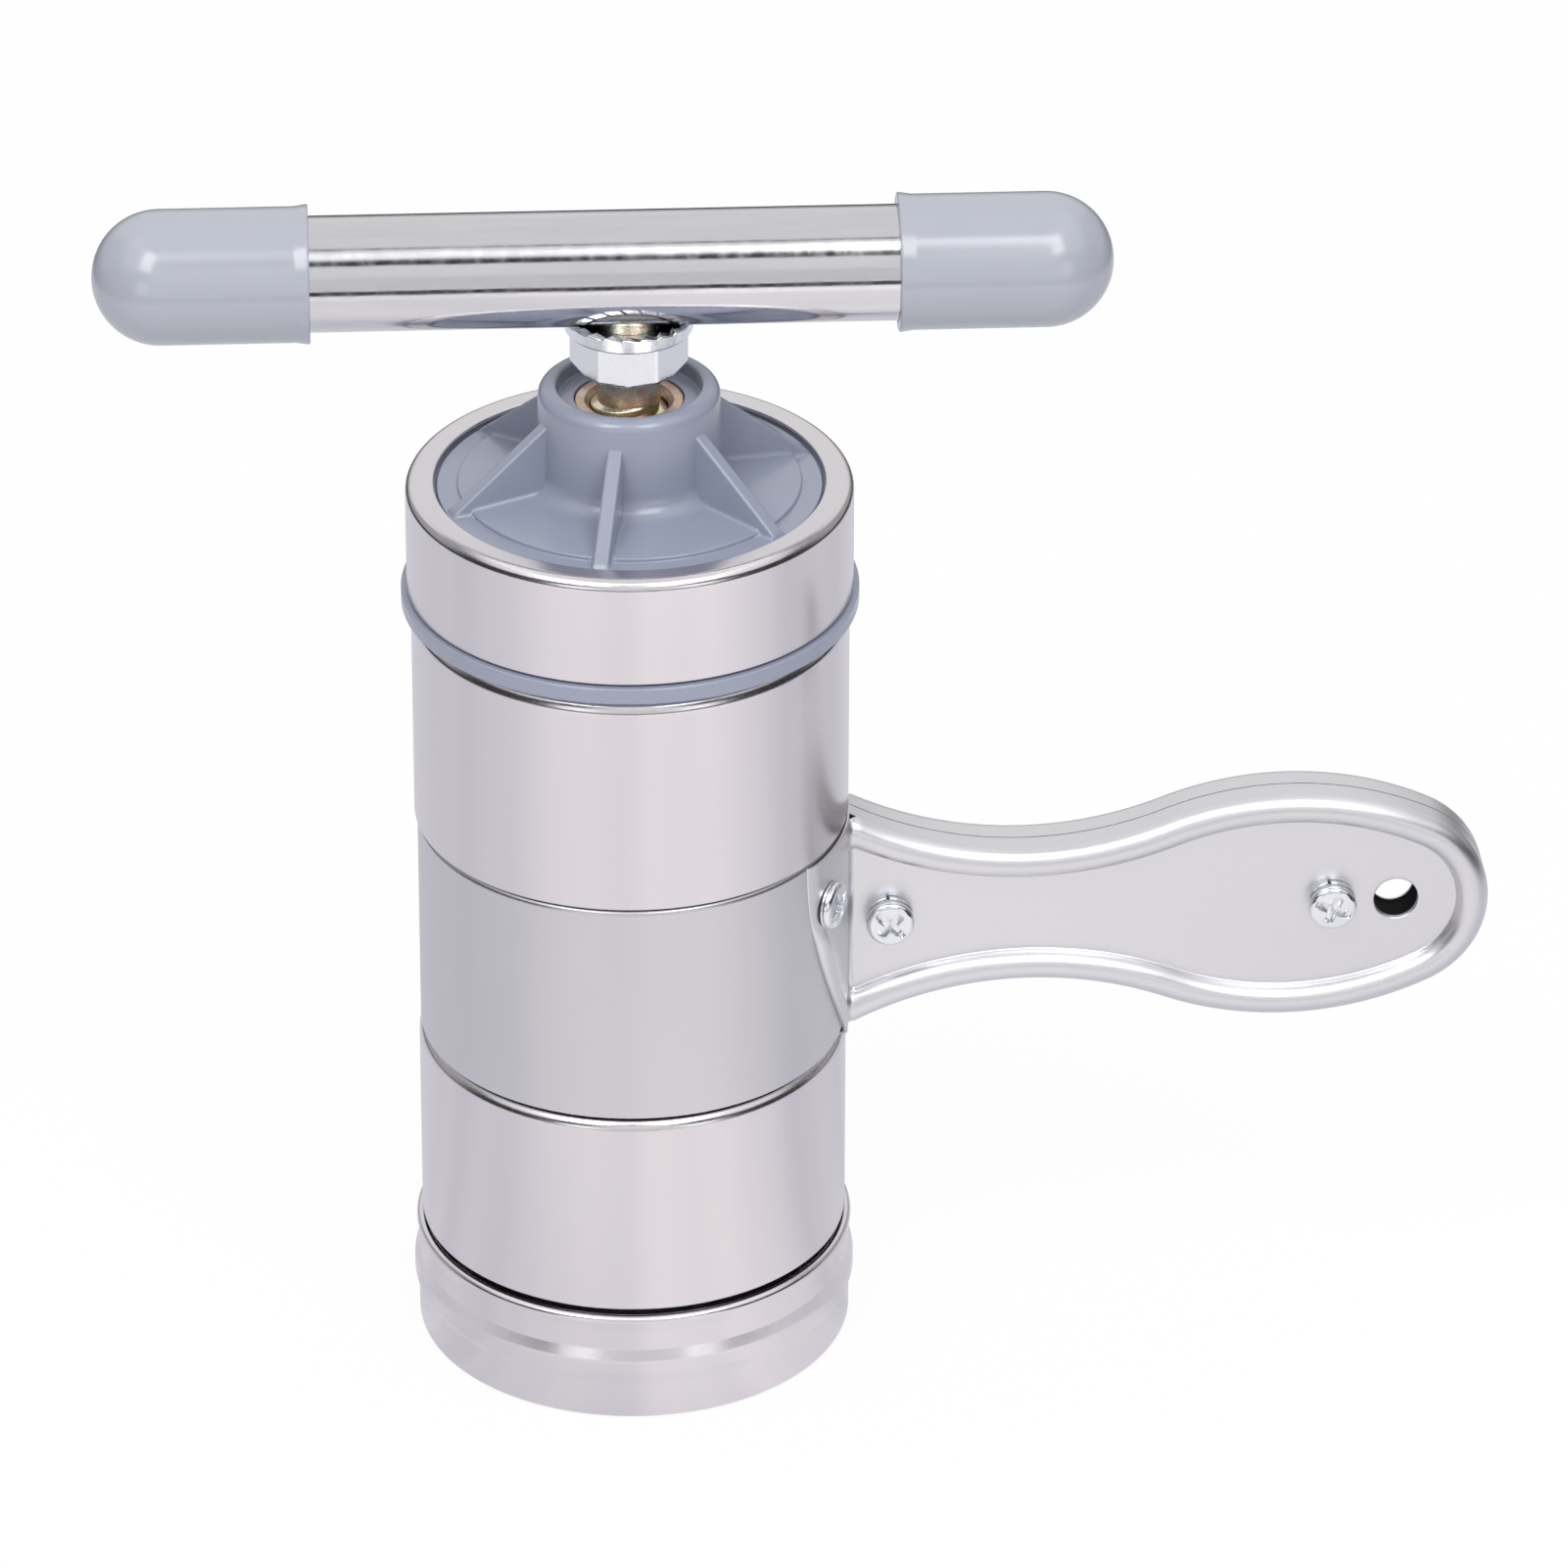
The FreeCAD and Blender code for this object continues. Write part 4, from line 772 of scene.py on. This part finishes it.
# Where a column of the section at this depth must end: the side wall runs on into the band, the
# rest stops where a fillet carries it onto the foot
def filletStart(depth):
    fillet = foot["fillet"]
    filleted = np.sqrt((footSkin + fillet) ** 2 - (depth + fillet) ** 2)
    straight = np.sqrt((bandRadius - 0.2) ** 2 - depth ** 2)
    return np.where(depth < handle["panel"] - 0.01, straight, filleted)


# Fillet that carries the front of the handle's root onto the foot
def rootBend(rootLine, side):
    depth = rootLine[:, 1] * side
    fillet, startX = foot["fillet"], filletStart(depth)
    angleEnd = -math.pi + np.arctan2(depth + fillet, startX)
    angle = -math.pi / 2 + (angleEnd + math.pi / 2)[:, None] * np.linspace(0, 1, 9)
    x = startX[:, None] + fillet * np.cos(angle) - foot["lap"]
    y = (depth + fillet)[:, None] + fillet * np.sin(angle)
    x[:, 0] = startX
    return np.stack([x, side * y, rootLine[:, 2][:, None] + 0 * angle], axis=-1)


def makeFoot(name, bottom, side):
    top = spanOf("middle_band")[1][2] - foot["inset"]
    height = np.concatenate([
        [top, top, top - 0.06, top - 0.15, top - 0.3], np.linspace(top - 0.7, bottom, 90),
        [bottom - 0.1, bottom - 0.2],
    ])[:, None]
    skinRow = np.full_like(height, footSkin)
    skinRow[:3, 0] = bandRadius, footSkin - 0.12, footSkin - 0.02
    skinRow[-1] = bandRadius
    run, climb, arc = foot["reach"] - foot["toe"], top - bottom, foot["arc"]
    chord = math.hypot(run, climb)
    rise = math.sqrt(arc ** 2 - chord ** 2 / 4)
    centreAcross = (foot["reach"] + foot["toe"]) / 2 - rise * climb / chord
    centreUp = (top + bottom) / 2 + rise * run / chord
    edge = centreAcross + np.sqrt(arc ** 2 - (height - centreUp) ** 2)
    across = 0.1 + (edge - 0.1) * (1 - (1 - np.linspace(0, 1, 72)) ** 1.8)
    within = np.clip(arc - np.hypot(across - centreAcross, height - centreUp), 0, None)
    bulge = np.sqrt(np.clip(1 - (within / foot["crest"] - 1) ** 2, 0, 1))
    rolled = eased(np.clip((top - foot["rimFrom"] - height) / foot["rimFade"], 0, 1))
    fade = np.clip((height - bottom - 0.3) / foot["rimEnd"], 0, 1) * rolled
    radius = skinRow + foot["rim"] * bulge * fade
    radius = radius - foot["thin"] * (1 - rolled) * np.clip(1 - within / foot["thinWidth"], 0, 1) ** 2
    edgeRadius = np.minimum(radius[:, -1:], skinRow)
    radius = np.concatenate([radius, edgeRadius - 0.06, np.full_like(height, bandRadius)], axis=1)
    radius = np.maximum(radius, bandRadius)
    across = np.concatenate([across, across[:, -1:], across[:, -1:]], axis=1)
    sheet = np.stack([np.sqrt(radius ** 2 - across ** 2), side * across, height + 0 * across], axis=-1)
    makePiece(name, [(sheet, False, False)], "handleSteel", "barrel",
              facing=(0.5, side, 0), wall=foot["wall"])


# Half of the handle: the section (inset, depth) of its side wall and bead carried round the
# outline, the flat panel inside it with the hanging hole, and the foot
def makeShell(half, side):
    bead, panel = handle["bead"], handle["panel"]
    section = rounded(
        [(0, handle["seam"]), (0, panel + bead, bead), (2 * bead, panel + bead, bead - 0.02),
         (2 * bead, panel, 0.35), (2 * bead + 1.0, panel)],
        closed=False, steps=14, guard=0.1,
    )
    guards = np.array([(0, handle["seam"]), (0, handle["seam"] + 0.06), (0, handle["seam"] + 0.16)])
    section = np.concatenate([guards, section[1:]])
    lift = np.array([0, 0, handleHeight])
    columns = []
    for inset, depth in section:
        outline = handleOutline(inset, float(filletStart(depth)))
        columns.append(np.stack([outline[:, 0], 0 * outline[:, 0] + side * depth, outline[:, 1]], axis=-1))
    beadGrid = np.stack(columns, axis=1)
    edge = beadGrid[:, -1]
    middle = (len(edge) + 1) // 2
    share = np.linspace(0, 1, 25)[None, :, None]
    upper, lower = edge[:middle], edge[middle - 1:][::-1]
    keep = np.count_nonzero(upper[:, 0] < handle["boltFar"])
    rootPart = upper[:keep, None] * (1 - share) + lower[:keep, None] * share
    ring = np.concatenate([upper[keep - 1:], lower[keep - 1:][::-1][1:], rootPart[-1][::-1][1:-1]])
    hang = np.array([handle["hang"], side * panel, 0.0])
    around = np.arctan2(ring[:, 2], ring[:, 0] - hang[0])
    circle = np.stack([np.cos(around), 0 * around, np.sin(around)], axis=-1)
    lipDepth = np.array([0, 0.06, 0.2, 0.35, 0.75])
    lipOut = np.array([0.35, 0.15, 0.04, 0.0, 0.0])
    lip = hang + circle[:, None] * (handle["hangHole"] + lipOut)[None, :, None]
    lip = lip - np.array([0, side, 0]) * lipDepth[None, :, None]
    fade = np.linspace(0, 1, 12)[None, :, None]
    tipPart = ring[:, None] * (1 - fade) + lip[:, :1] * fade
    rootLine = np.concatenate([beadGrid[0], rootPart[0, 1:-1], beadGrid[-1][::-1]]) + lift
    wallColumns = np.count_nonzero(section[:, 1] < panel)
    bend = rootBend(rootLine[wallColumns:len(rootLine) - wallColumns], side)
    patches = [(beadGrid + lift, False, False), (rootPart + lift, False, False),
               (tipPart + lift, True, False), (lip + lift, True, False), (bend, False, False)]
    # The shell's inner faces and rims carry painted shade, a near-black finish that darkens the hang hole and
    # the seam
    makePiece(f"handle{half.title()}Shell", patches, "handleSteel", "barrel",
              [f"handle_{half}_shell"], facing=(0.5, side, 0), wall=0.4, inside="paintedShadeInside")
    makeFoot(f"handle{half.title()}Foot", rootLine[:, 2].min(), side)


makeShell("front", -1)
makeShell("back", 1)
print("handle made")


# Screws, washers and nuts, each made about its own z axis with its foot at the origin
screw = {"head": 3.85, "height": 2.1, "round": 0.9, "crown": 0.12, "footHeight": 1.1, "spring": 3.9,
         "springThickness": 0.9, "footWasher": 0.4, "nutAcross": 7.0, "nutHeight": 3.2, "tail": 0.8,
         "shank": 2.0, "core": 1.7, "slotReach": 3.1, "slotWidth": 0.9, "slotDepth": 0.6,
         "crossWidth": 1.35, "crossReach": 2.3, "crossDepth": 1.1, "crossTaper": 0.5}


# Pan head: a rounded disc whose top is lowered by a slot and a tapering cross
def screwHead(height, spin):
    radius, rim = screw["head"], screw["round"]
    curve = np.linspace(0, math.pi / 2, 12)
    bulge = np.stack([radius - rim + rim * np.cos(curve), height - rim + rim * np.sin(curve)], axis=1)
    inward = np.linspace(radius - rim, 0, 70)[1:]
    crown = np.stack([inward, height + screw["crown"] * (1 - (inward / (radius - rim)) ** 2)], axis=1)
    outline = np.concatenate([[(screw["shank"], 0), (radius - 0.2, 0), (radius, 0.15)], bulge, crown])
    grid = spun(outline, 180)[0]
    away = np.hypot(grid[..., 0], grid[..., 1])
    along = grid[..., 0] * math.cos(spin) + grid[..., 1] * math.sin(spin)
    across = -grid[..., 0] * math.sin(spin) + grid[..., 1] * math.cos(spin)

    def trough(offset, width, soft=0.16):
        return np.clip((width / 2 - np.abs(offset)) / soft + 0.5, 0, 1)

    slot = trough(across, screw["slotWidth"]) * screw["slotDepth"]
    slot = slot * np.clip((screw["slotReach"] - away) / 0.5, 0, 1)
    reach = np.clip((screw["crossReach"] - away) / 0.3 + 0.5, 0, 1)
    cross = np.maximum(trough(across, screw["crossWidth"]), trough(along, screw["crossWidth"])) * reach
    cross = cross * (screw["crossDepth"] + screw["crossTaper"] * (1 - away / screw["crossReach"]))
    grid[..., 2] -= np.maximum(slot, cross)
    return grid, True, False


# Split ring: a rounded section carried round, its two ends a little apart and out of line
def springRing(outer, thickness, split=0.0):
    inner = screw["shank"] + 0.1
    section = rounded([(inner, 0), (outer, 0), (outer, thickness), (inner, thickness)], steps=3, least=0.12)
    if not split:
        return spun(section, 120)
    angle = np.linspace(split / 2, fullTurn - split / 2, 120)
    angle = np.concatenate([angle[:1], angle, angle[-1:]])
    grid = np.stack([
        section[:, 0] * np.cos(angle)[:, None],
        section[:, 0] * np.sin(angle)[:, None],
        section[:, 1] + 0.25 * (angle[:, None] / fullTurn - 0.5) * (thickness > 0.6),
    ], axis=-1)
    grid[0] = grid[1].mean(axis=0)
    grid[-1] = grid[-2].mean(axis=0)
    return grid, False, True


def makeFasteners():
    panel, height, shank, core = handle["panel"], screw["nutHeight"], screw["shank"], screw["core"]
    heads, washers, nuts = [], [], []
    for x, spin, split in ((handle["boltNear"], -0.75, 1.65), (handle["boltFar"], -0.4, 1.7)):
        front = np.array([x, -(panel + seatGap), handleHeight])
        back = np.array([x, panel + seatGap, handleHeight])
        ring = springRing(screw["spring"], screw["springThickness"], 0.12)
        washers.append(placed(ring, front, (0, -1, 0), split))
        seat = front - [0, screw["springThickness"] + seatGap, 0]
        heads.append(placed(screwHead(screw["height"], spin), seat, (0, -1, 0)))
        hexGrid = hexWall(screw["nutAcross"] / 2, 0, height, 1.4, shank + seatGap, 12 + 20 * spin, 1.4)
        nuts.append(placed(hexGrid, back, (0, 1, 0)))
        tail = height + screw["tail"]
        end = spun(np.array([(0, tail), (core - 0.2, tail), (core, tail - 0.2), (core, 0.2)]), 60)[0]
        ridge = threadRidge(pitch=0.7, steps=40, fade=0.4, width=0.66, crest=0.16, edge=0.05, sunk=0.05,
                            depth=shank - core, core=core, foot=0.4, top=tail - 0.3)
        heads += [placed((end, True, False), back, (0, 1, 0)), placed(ridge, back, (0, 1, 0))]
    footHeads, footWashers = [], []
    footHeight = sum(corner[2] for corner in spanOf("foot_washers")) / 2
    footAngle = math.radians(foot["angle"])
    for side, spin in ((-1, 0.4), (1, 1.2)):
        out = np.array([math.cos(footAngle), side * math.sin(footAngle), 0])
        seat = out * (footSkin + seatGap) + [0, 0, footHeight]
        footWashers.append(placed(springRing(screw["spring"], screw["footWasher"]), seat, out))
        seat = seat + out * (screw["footWasher"] + seatGap)
        footHeads.append(placed(screwHead(screw["footHeight"], spin), seat, out))
    for name, node, patches in (
        ("handleScrews", "handle_screws", heads), ("handleWashers", "handle_washers", washers),
        ("handleNuts", "handle_nuts", nuts), ("footScrews", "foot_screws", footHeads),
        ("footWashers", "foot_washers", footWashers),
    ):
        makePiece(name, patches, "brightZinc", "barrel", [node])


makeFasteners()
print("fasteners made")

plainNodes = {
    "die_disc": "satinSteel", "tapped_strip": "satinSteel", "handle_spacers": "brightZinc",
    "bar_cross_nut": "brightZinc", "thrust_washer": "yellowZinc", "spindle_end_nut": "yellowZinc",
}
for node, finish in plainNodes.items():
    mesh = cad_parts[node].data
    mesh.materials.clear()
    mesh.materials.append(finishes[finish])


# Camera at the photograph's viewing angle, aimed a little right of the barrel
view = {"azimuth": -4.40, "elevation": 29.17, "distance": 1551.4, "right": 24.18, "up": 96.98,
        "roll": 0.165, "focalPixels": 10000.0, "framePixels": 1601.0, "sensor": 36.0}


def makeCamera():
    azimuth, elevation, roll = (math.radians(view[key]) for key in ("azimuth", "elevation", "roll"))
    level = math.cos(elevation)
    back = np.array([math.sin(azimuth) * level, -math.cos(azimuth) * level, math.sin(elevation)])
    right = np.array([math.cos(azimuth), math.sin(azimuth), 0.0])
    target = right * view["right"] + [0, 0, view["up"]]
    rolled = math.cos(roll) * right + math.sin(roll) * np.cross(back, right)
    place = (target + back * view["distance"]) * mm
    matrix = np.eye(4)
    matrix[:3] = np.stack([rolled, np.cross(back, rolled), back, place], axis=1)
    data = bpy.data.cameras.new("camera")
    data.sensor_width = view["sensor"]
    data.lens = view["focalPixels"] / view["framePixels"] * view["sensor"]
    data.clip_start, data.clip_end = 0.05, 50
    camera = bpy.data.objects.new("camera", data)
    scene.collection.objects.link(camera)
    camera.matrix_world = Matrix(matrix.tolist())
    scene.camera = camera


makeCamera()


# Maths nodes of a tree, called like functions on sockets and numbers: any operation, plus, times,
# minus, a smooth rise from 0 at low to 1 at high, and the same as a fall from 1 to 0
def calculator(tree):
    def number(operation, *values):
        node = tree.nodes.new("ShaderNodeMath")
        node.operation = operation
        for socket, value in zip(node.inputs, values):
            if isinstance(value, (int, float)):
                socket.default_value = value
            else:
                tree.links.new(value, socket)
        return node.outputs[0]

    def minus(one, other):
        return number("SUBTRACT", one, other)

    def rising(value, low, high):
        return spread(tree, value, (low, high), kind="SMOOTHSTEP")

    plus, times = (
        lambda *values, operation=operation: reduce(partial(number, operation), values)
        for operation in ("ADD", "MULTIPLY")
    )
    return number, plus, times, minus, rising, lambda *values: minus(1.0, rising(*values))


# Parts of a texture coordinate, by the letter of the axis
def coordinate(tree, kind):
    place = tree.nodes.new("ShaderNodeTexCoord")
    split = tree.nodes.new("ShaderNodeSeparateXYZ")
    tree.links.new(place.outputs[kind], split.inputs[0])
    return (split.outputs[axis] for axis in "XYZ")


def mixShaders(tree, share, one, other):
    mix = tree.nodes.new("ShaderNodeMixShader")
    for socket, value in zip(mix.inputs, (share, one, other)):
        if isinstance(value, float):
            socket.default_value = value
        else:
            tree.links.new(value, socket)
    return mix.outputs[0]


# Pale floor: white to the camera with a faint soft shadow; metal sees it bright in front, dimmer
# and bluer at the sides and behind, and dark beyond the table's edge, up to a bright patch ahead.
# Streaks of the share vary with the direction from the barrel. Distances are in metres
floorPlan = {
    "left": -4.0, "right": 4.0, "front": -1.3, "back": 4.0, "below": 0.0002, "paint": (0.85, 0.85, 0.86),
    "shadowShare": 0.06, "near": (1.07, 1.045, 1.055), "far": (0.785, 0.78, 0.835), "bright": (0.1, 0.8),
    "toRight": 0.04, "soften": 0.02, "streaks": 2.6, "streakDepth": 1.3, "table": (0.5, 0.6),
    "wedge": 2.2, "wedgeEdge": 0.15, "ahead": (0.95, 1.15), "boostFrom": (0.3, 0.4), "boost": 0.2,
    "dim": 0.05,
}


def makeFloor():
    mesh = bpy.data.meshes.new("floor")
    left, right, front, back = (floorPlan[key] for key in ("left", "right", "front", "back"))
    corners = [(left, front, 0), (right, front, 0), (right, back, 0), (left, back, 0)]
    mesh.from_pydata(corners, [], [(0, 1, 2, 3)])
    finish = bpy.data.materials.new("paleFloor")
    finish.use_nodes = True
    tree = finish.node_tree
    nodes, links = tree.nodes, tree.links
    nodes.clear()
    number, plus, times, minus, rising, falling = calculator(tree)
    x, y, _ = coordinate(tree, "Object")
    frontward = times(y, -1.0)
    sideways = number("ABSOLUTE", minus(x, floorPlan["toRight"]))
    reach = number("SQRT", plus(number("POWER", frontward, 2.0), number("POWER", sideways, 2.0)))
    share = rising(number("DIVIDE", frontward, plus(reach, floorPlan["soften"])), *floorPlan["bright"])
    streak = nodes.new("ShaderNodeTexNoise")
    streak.noise_dimensions = "1D"
    streak.inputs["Scale"].default_value = floorPlan["streaks"]
    streak.inputs["Detail"].default_value = 2.0
    links.new(number("ARCTAN2", x, plus(frontward, 0.004)), streak.inputs["W"])
    share = plus(share, times(minus(streak.outputs[0], 0.5), floorPlan["streakDepth"]))
    tint = mixColours(tree, share, floorPlan["far"], floorPlan["near"], clamp=False)
    away = number("SQRT", plus(number("POWER", x, 2.0), number("POWER", y, 2.0)))
    onTable = falling(away, *floorPlan["table"])
    inFront = rising(minus(frontward, times(sideways, floorPlan["wedge"])), 0.0, floorPlan["wedgeEdge"])
    boost = times(rising(away, *floorPlan["boostFrom"]), floorPlan["boost"], share)
    lit = times(onTable, plus(1.0 - floorPlan["dim"], boost))
    reflected = nodes.new("ShaderNodeEmission")
    links.new(tint, reflected.inputs["Color"])
    level = plus(lit, floorPlan["dim"], times(rising(away, *floorPlan["ahead"]), inFront))
    links.new(level, reflected.inputs["Strength"])
    diffuse = nodes.new("ShaderNodeBsdfDiffuse")
    diffuse.inputs["Color"].default_value = (*floorPlan["paint"], 1)
    glow = nodes.new("ShaderNodeEmission")
    glow.inputs["Color"].default_value = (1, 1, 1, 1)
    path = nodes.new("ShaderNodeLightPath")
    shiny = number("MAXIMUM", path.outputs["Is Glossy Ray"], path.outputs["Is Transmission Ray"])
    inMetal = mixShaders(tree, shiny, diffuse.outputs[0], reflected.outputs[0])
    shadowed = mixShaders(tree, floorPlan["shadowShare"], glow.outputs[0], diffuse.outputs[0])
    output = nodes.new("ShaderNodeOutputMaterial")
    links.new(mixShaders(tree, path.outputs["Is Camera Ray"], inMetal, shadowed), output.inputs["Surface"])
    mesh.materials.append(finish)
    floor = bpy.data.objects.new("floor", mesh)
    scene.collection.objects.link(floor)
    floor.location.z = -floorPlan["below"]


# Soft studio surround: white to the camera, an even level for the plain light; metal sees a dark
# room from the table up to the foot of a white wall, which lies higher in front and at the sides,
# a window ahead with a wing at each side, and a bright strip and a seam in the ceiling. Pairs are
# where a change starts and ends, in degrees of bearing from the front or of rise
surround = {
    "low": 0.42, "high": 1.03, "upward": (-0.2, 1.0), "sideShade": 0.35, "sides": (0.4, 0.95),
    "back": 0.92, "ceiling": 1.3, "room": 0.04, "ahead": 0.9, "centre": 0.86, "wings": 1.7,
    "outward": 0.4, "seamShade": 0.6, "behind": (120, 150), "facing": (26, 52), "beside": (82, 100),
    "wallFoot": 6, "frontLift": 16, "facingLift": 25, "besideLift": 16, "wallFade": 7,
    "window": (16, 30), "windowTop": (39, 41), "windowUpper": (14, 18), "besideRoom": (88, 112),
    "wingSpan": (20, 24, 38, 44), "strip": (52, 56, 64, 70), "seam": (71, 73, 75, 77),
}


def makeSurround():
    world = bpy.data.worlds.new("studio")
    scene.world = world
    world.use_nodes = True
    tree = world.node_tree
    tree.nodes.clear()
    number, plus, times, minus, rising, falling = calculator(tree)

    def within(value, key):
        return times(rising(value, *surround[key][:2]), falling(value, *surround[key][2:]))

    x, y, z = coordinate(tree, "Generated")
    rise = times(number("ARCSINE", z), math.degrees(1))
    bearing = times(number("ABSOLUTE", number("ARCTAN2", x, times(y, -1.0))), math.degrees(1))
    front = falling(bearing, *surround["behind"])
    facing = falling(bearing, *surround["facing"])
    beside = times(rising(bearing, *surround["beside"]), front)
    wallFoot = plus(surround["wallFoot"], times(front, surround["frontLift"]),
                    times(facing, surround["facingLift"]), times(beside, surround["besideLift"]))
    aboveRoom = rising(minus(rise, wallFoot), 0.0, surround["wallFade"])
    window = falling(bearing, *surround["window"])
    upper = rising(rise, *surround["windowUpper"])
    wings = times(within(bearing, "wingSpan"), surround["wings"])
    lower = plus(times(window, surround["centre"]), wings)
    middle = plus(times(window, upper), times(lower, minus(1.0, upper)))
    middle = times(middle, falling(rise, *surround["windowTop"]))
    room = plus(surround["room"], times(rising(bearing, *surround["besideRoom"]), surround["outward"]))
    ceiling = times(within(rise, "strip"), front, surround["ceiling"] - surround["back"])
    wall = times(aboveRoom, minus(surround["back"], room))
    level = plus(room, wall, times(middle, surround["ahead"]), ceiling)
    level = times(level, minus(1.0, times(within(rise, "seam"), facing, surround["seamShade"])))
    upward = rising(z, *surround["upward"])
    sideways = rising(number("ABSOLUTE", x), *surround["sides"])
    plain = plus(surround["low"], times(upward, surround["high"] - surround["low"]))
    plain = times(plain, minus(1.0, times(sideways, surround["sideShade"])))
    path = tree.nodes.new("ShaderNodeLightPath")
    shiny = number("MAXIMUM", path.outputs["Is Glossy Ray"], path.outputs["Is Transmission Ray"])
    seen = path.outputs["Is Camera Ray"]
    strength = plus(times(plain, minus(1.0, shiny)), times(shiny, level))
    strength = plus(times(strength, minus(1.0, seen)), seen)
    glow = tree.nodes.new("ShaderNodeBackground")
    glow.inputs["Color"].default_value = (1, 1, 1, 1)
    tree.links.new(strength, glow.inputs["Strength"])
    output = tree.nodes.new("ShaderNodeOutputWorld")
    tree.links.new(glow.outputs[0], output.inputs["Surface"])


# Two soft lamps in front, each facing the barrel; bearing is from the camera's own
softBox = {"bearing": 30.0, "rise": 50.0, "width": 0.45, "height": 0.7, "distance": 1.3, "aim": 0.12,
           "watts": 5.2}


def makeSoftBoxes():
    rise = math.radians(softBox["rise"])
    level, height = softBox["distance"] * math.cos(rise), softBox["distance"] * math.sin(rise)
    for name, side in (("leftBox", -1), ("rightBox", 1)):
        bearing = math.radians(side * softBox["bearing"] + view["azimuth"])
        data = bpy.data.lights.new(name, "AREA")
        data.shape = "RECTANGLE"
        data.size, data.size_y = softBox["width"], softBox["height"]
        data.energy = softBox["watts"]
        light = bpy.data.objects.new(name, data)
        scene.collection.objects.link(light)
        light.location = (math.sin(bearing) * level, -math.cos(bearing) * level, height + softBox["aim"])
        light.rotation_euler = (math.radians(90) - rise, 0, bearing)


makeFloor()
makeSurround()
makeSoftBoxes()
scene.view_settings.view_transform = "Standard"
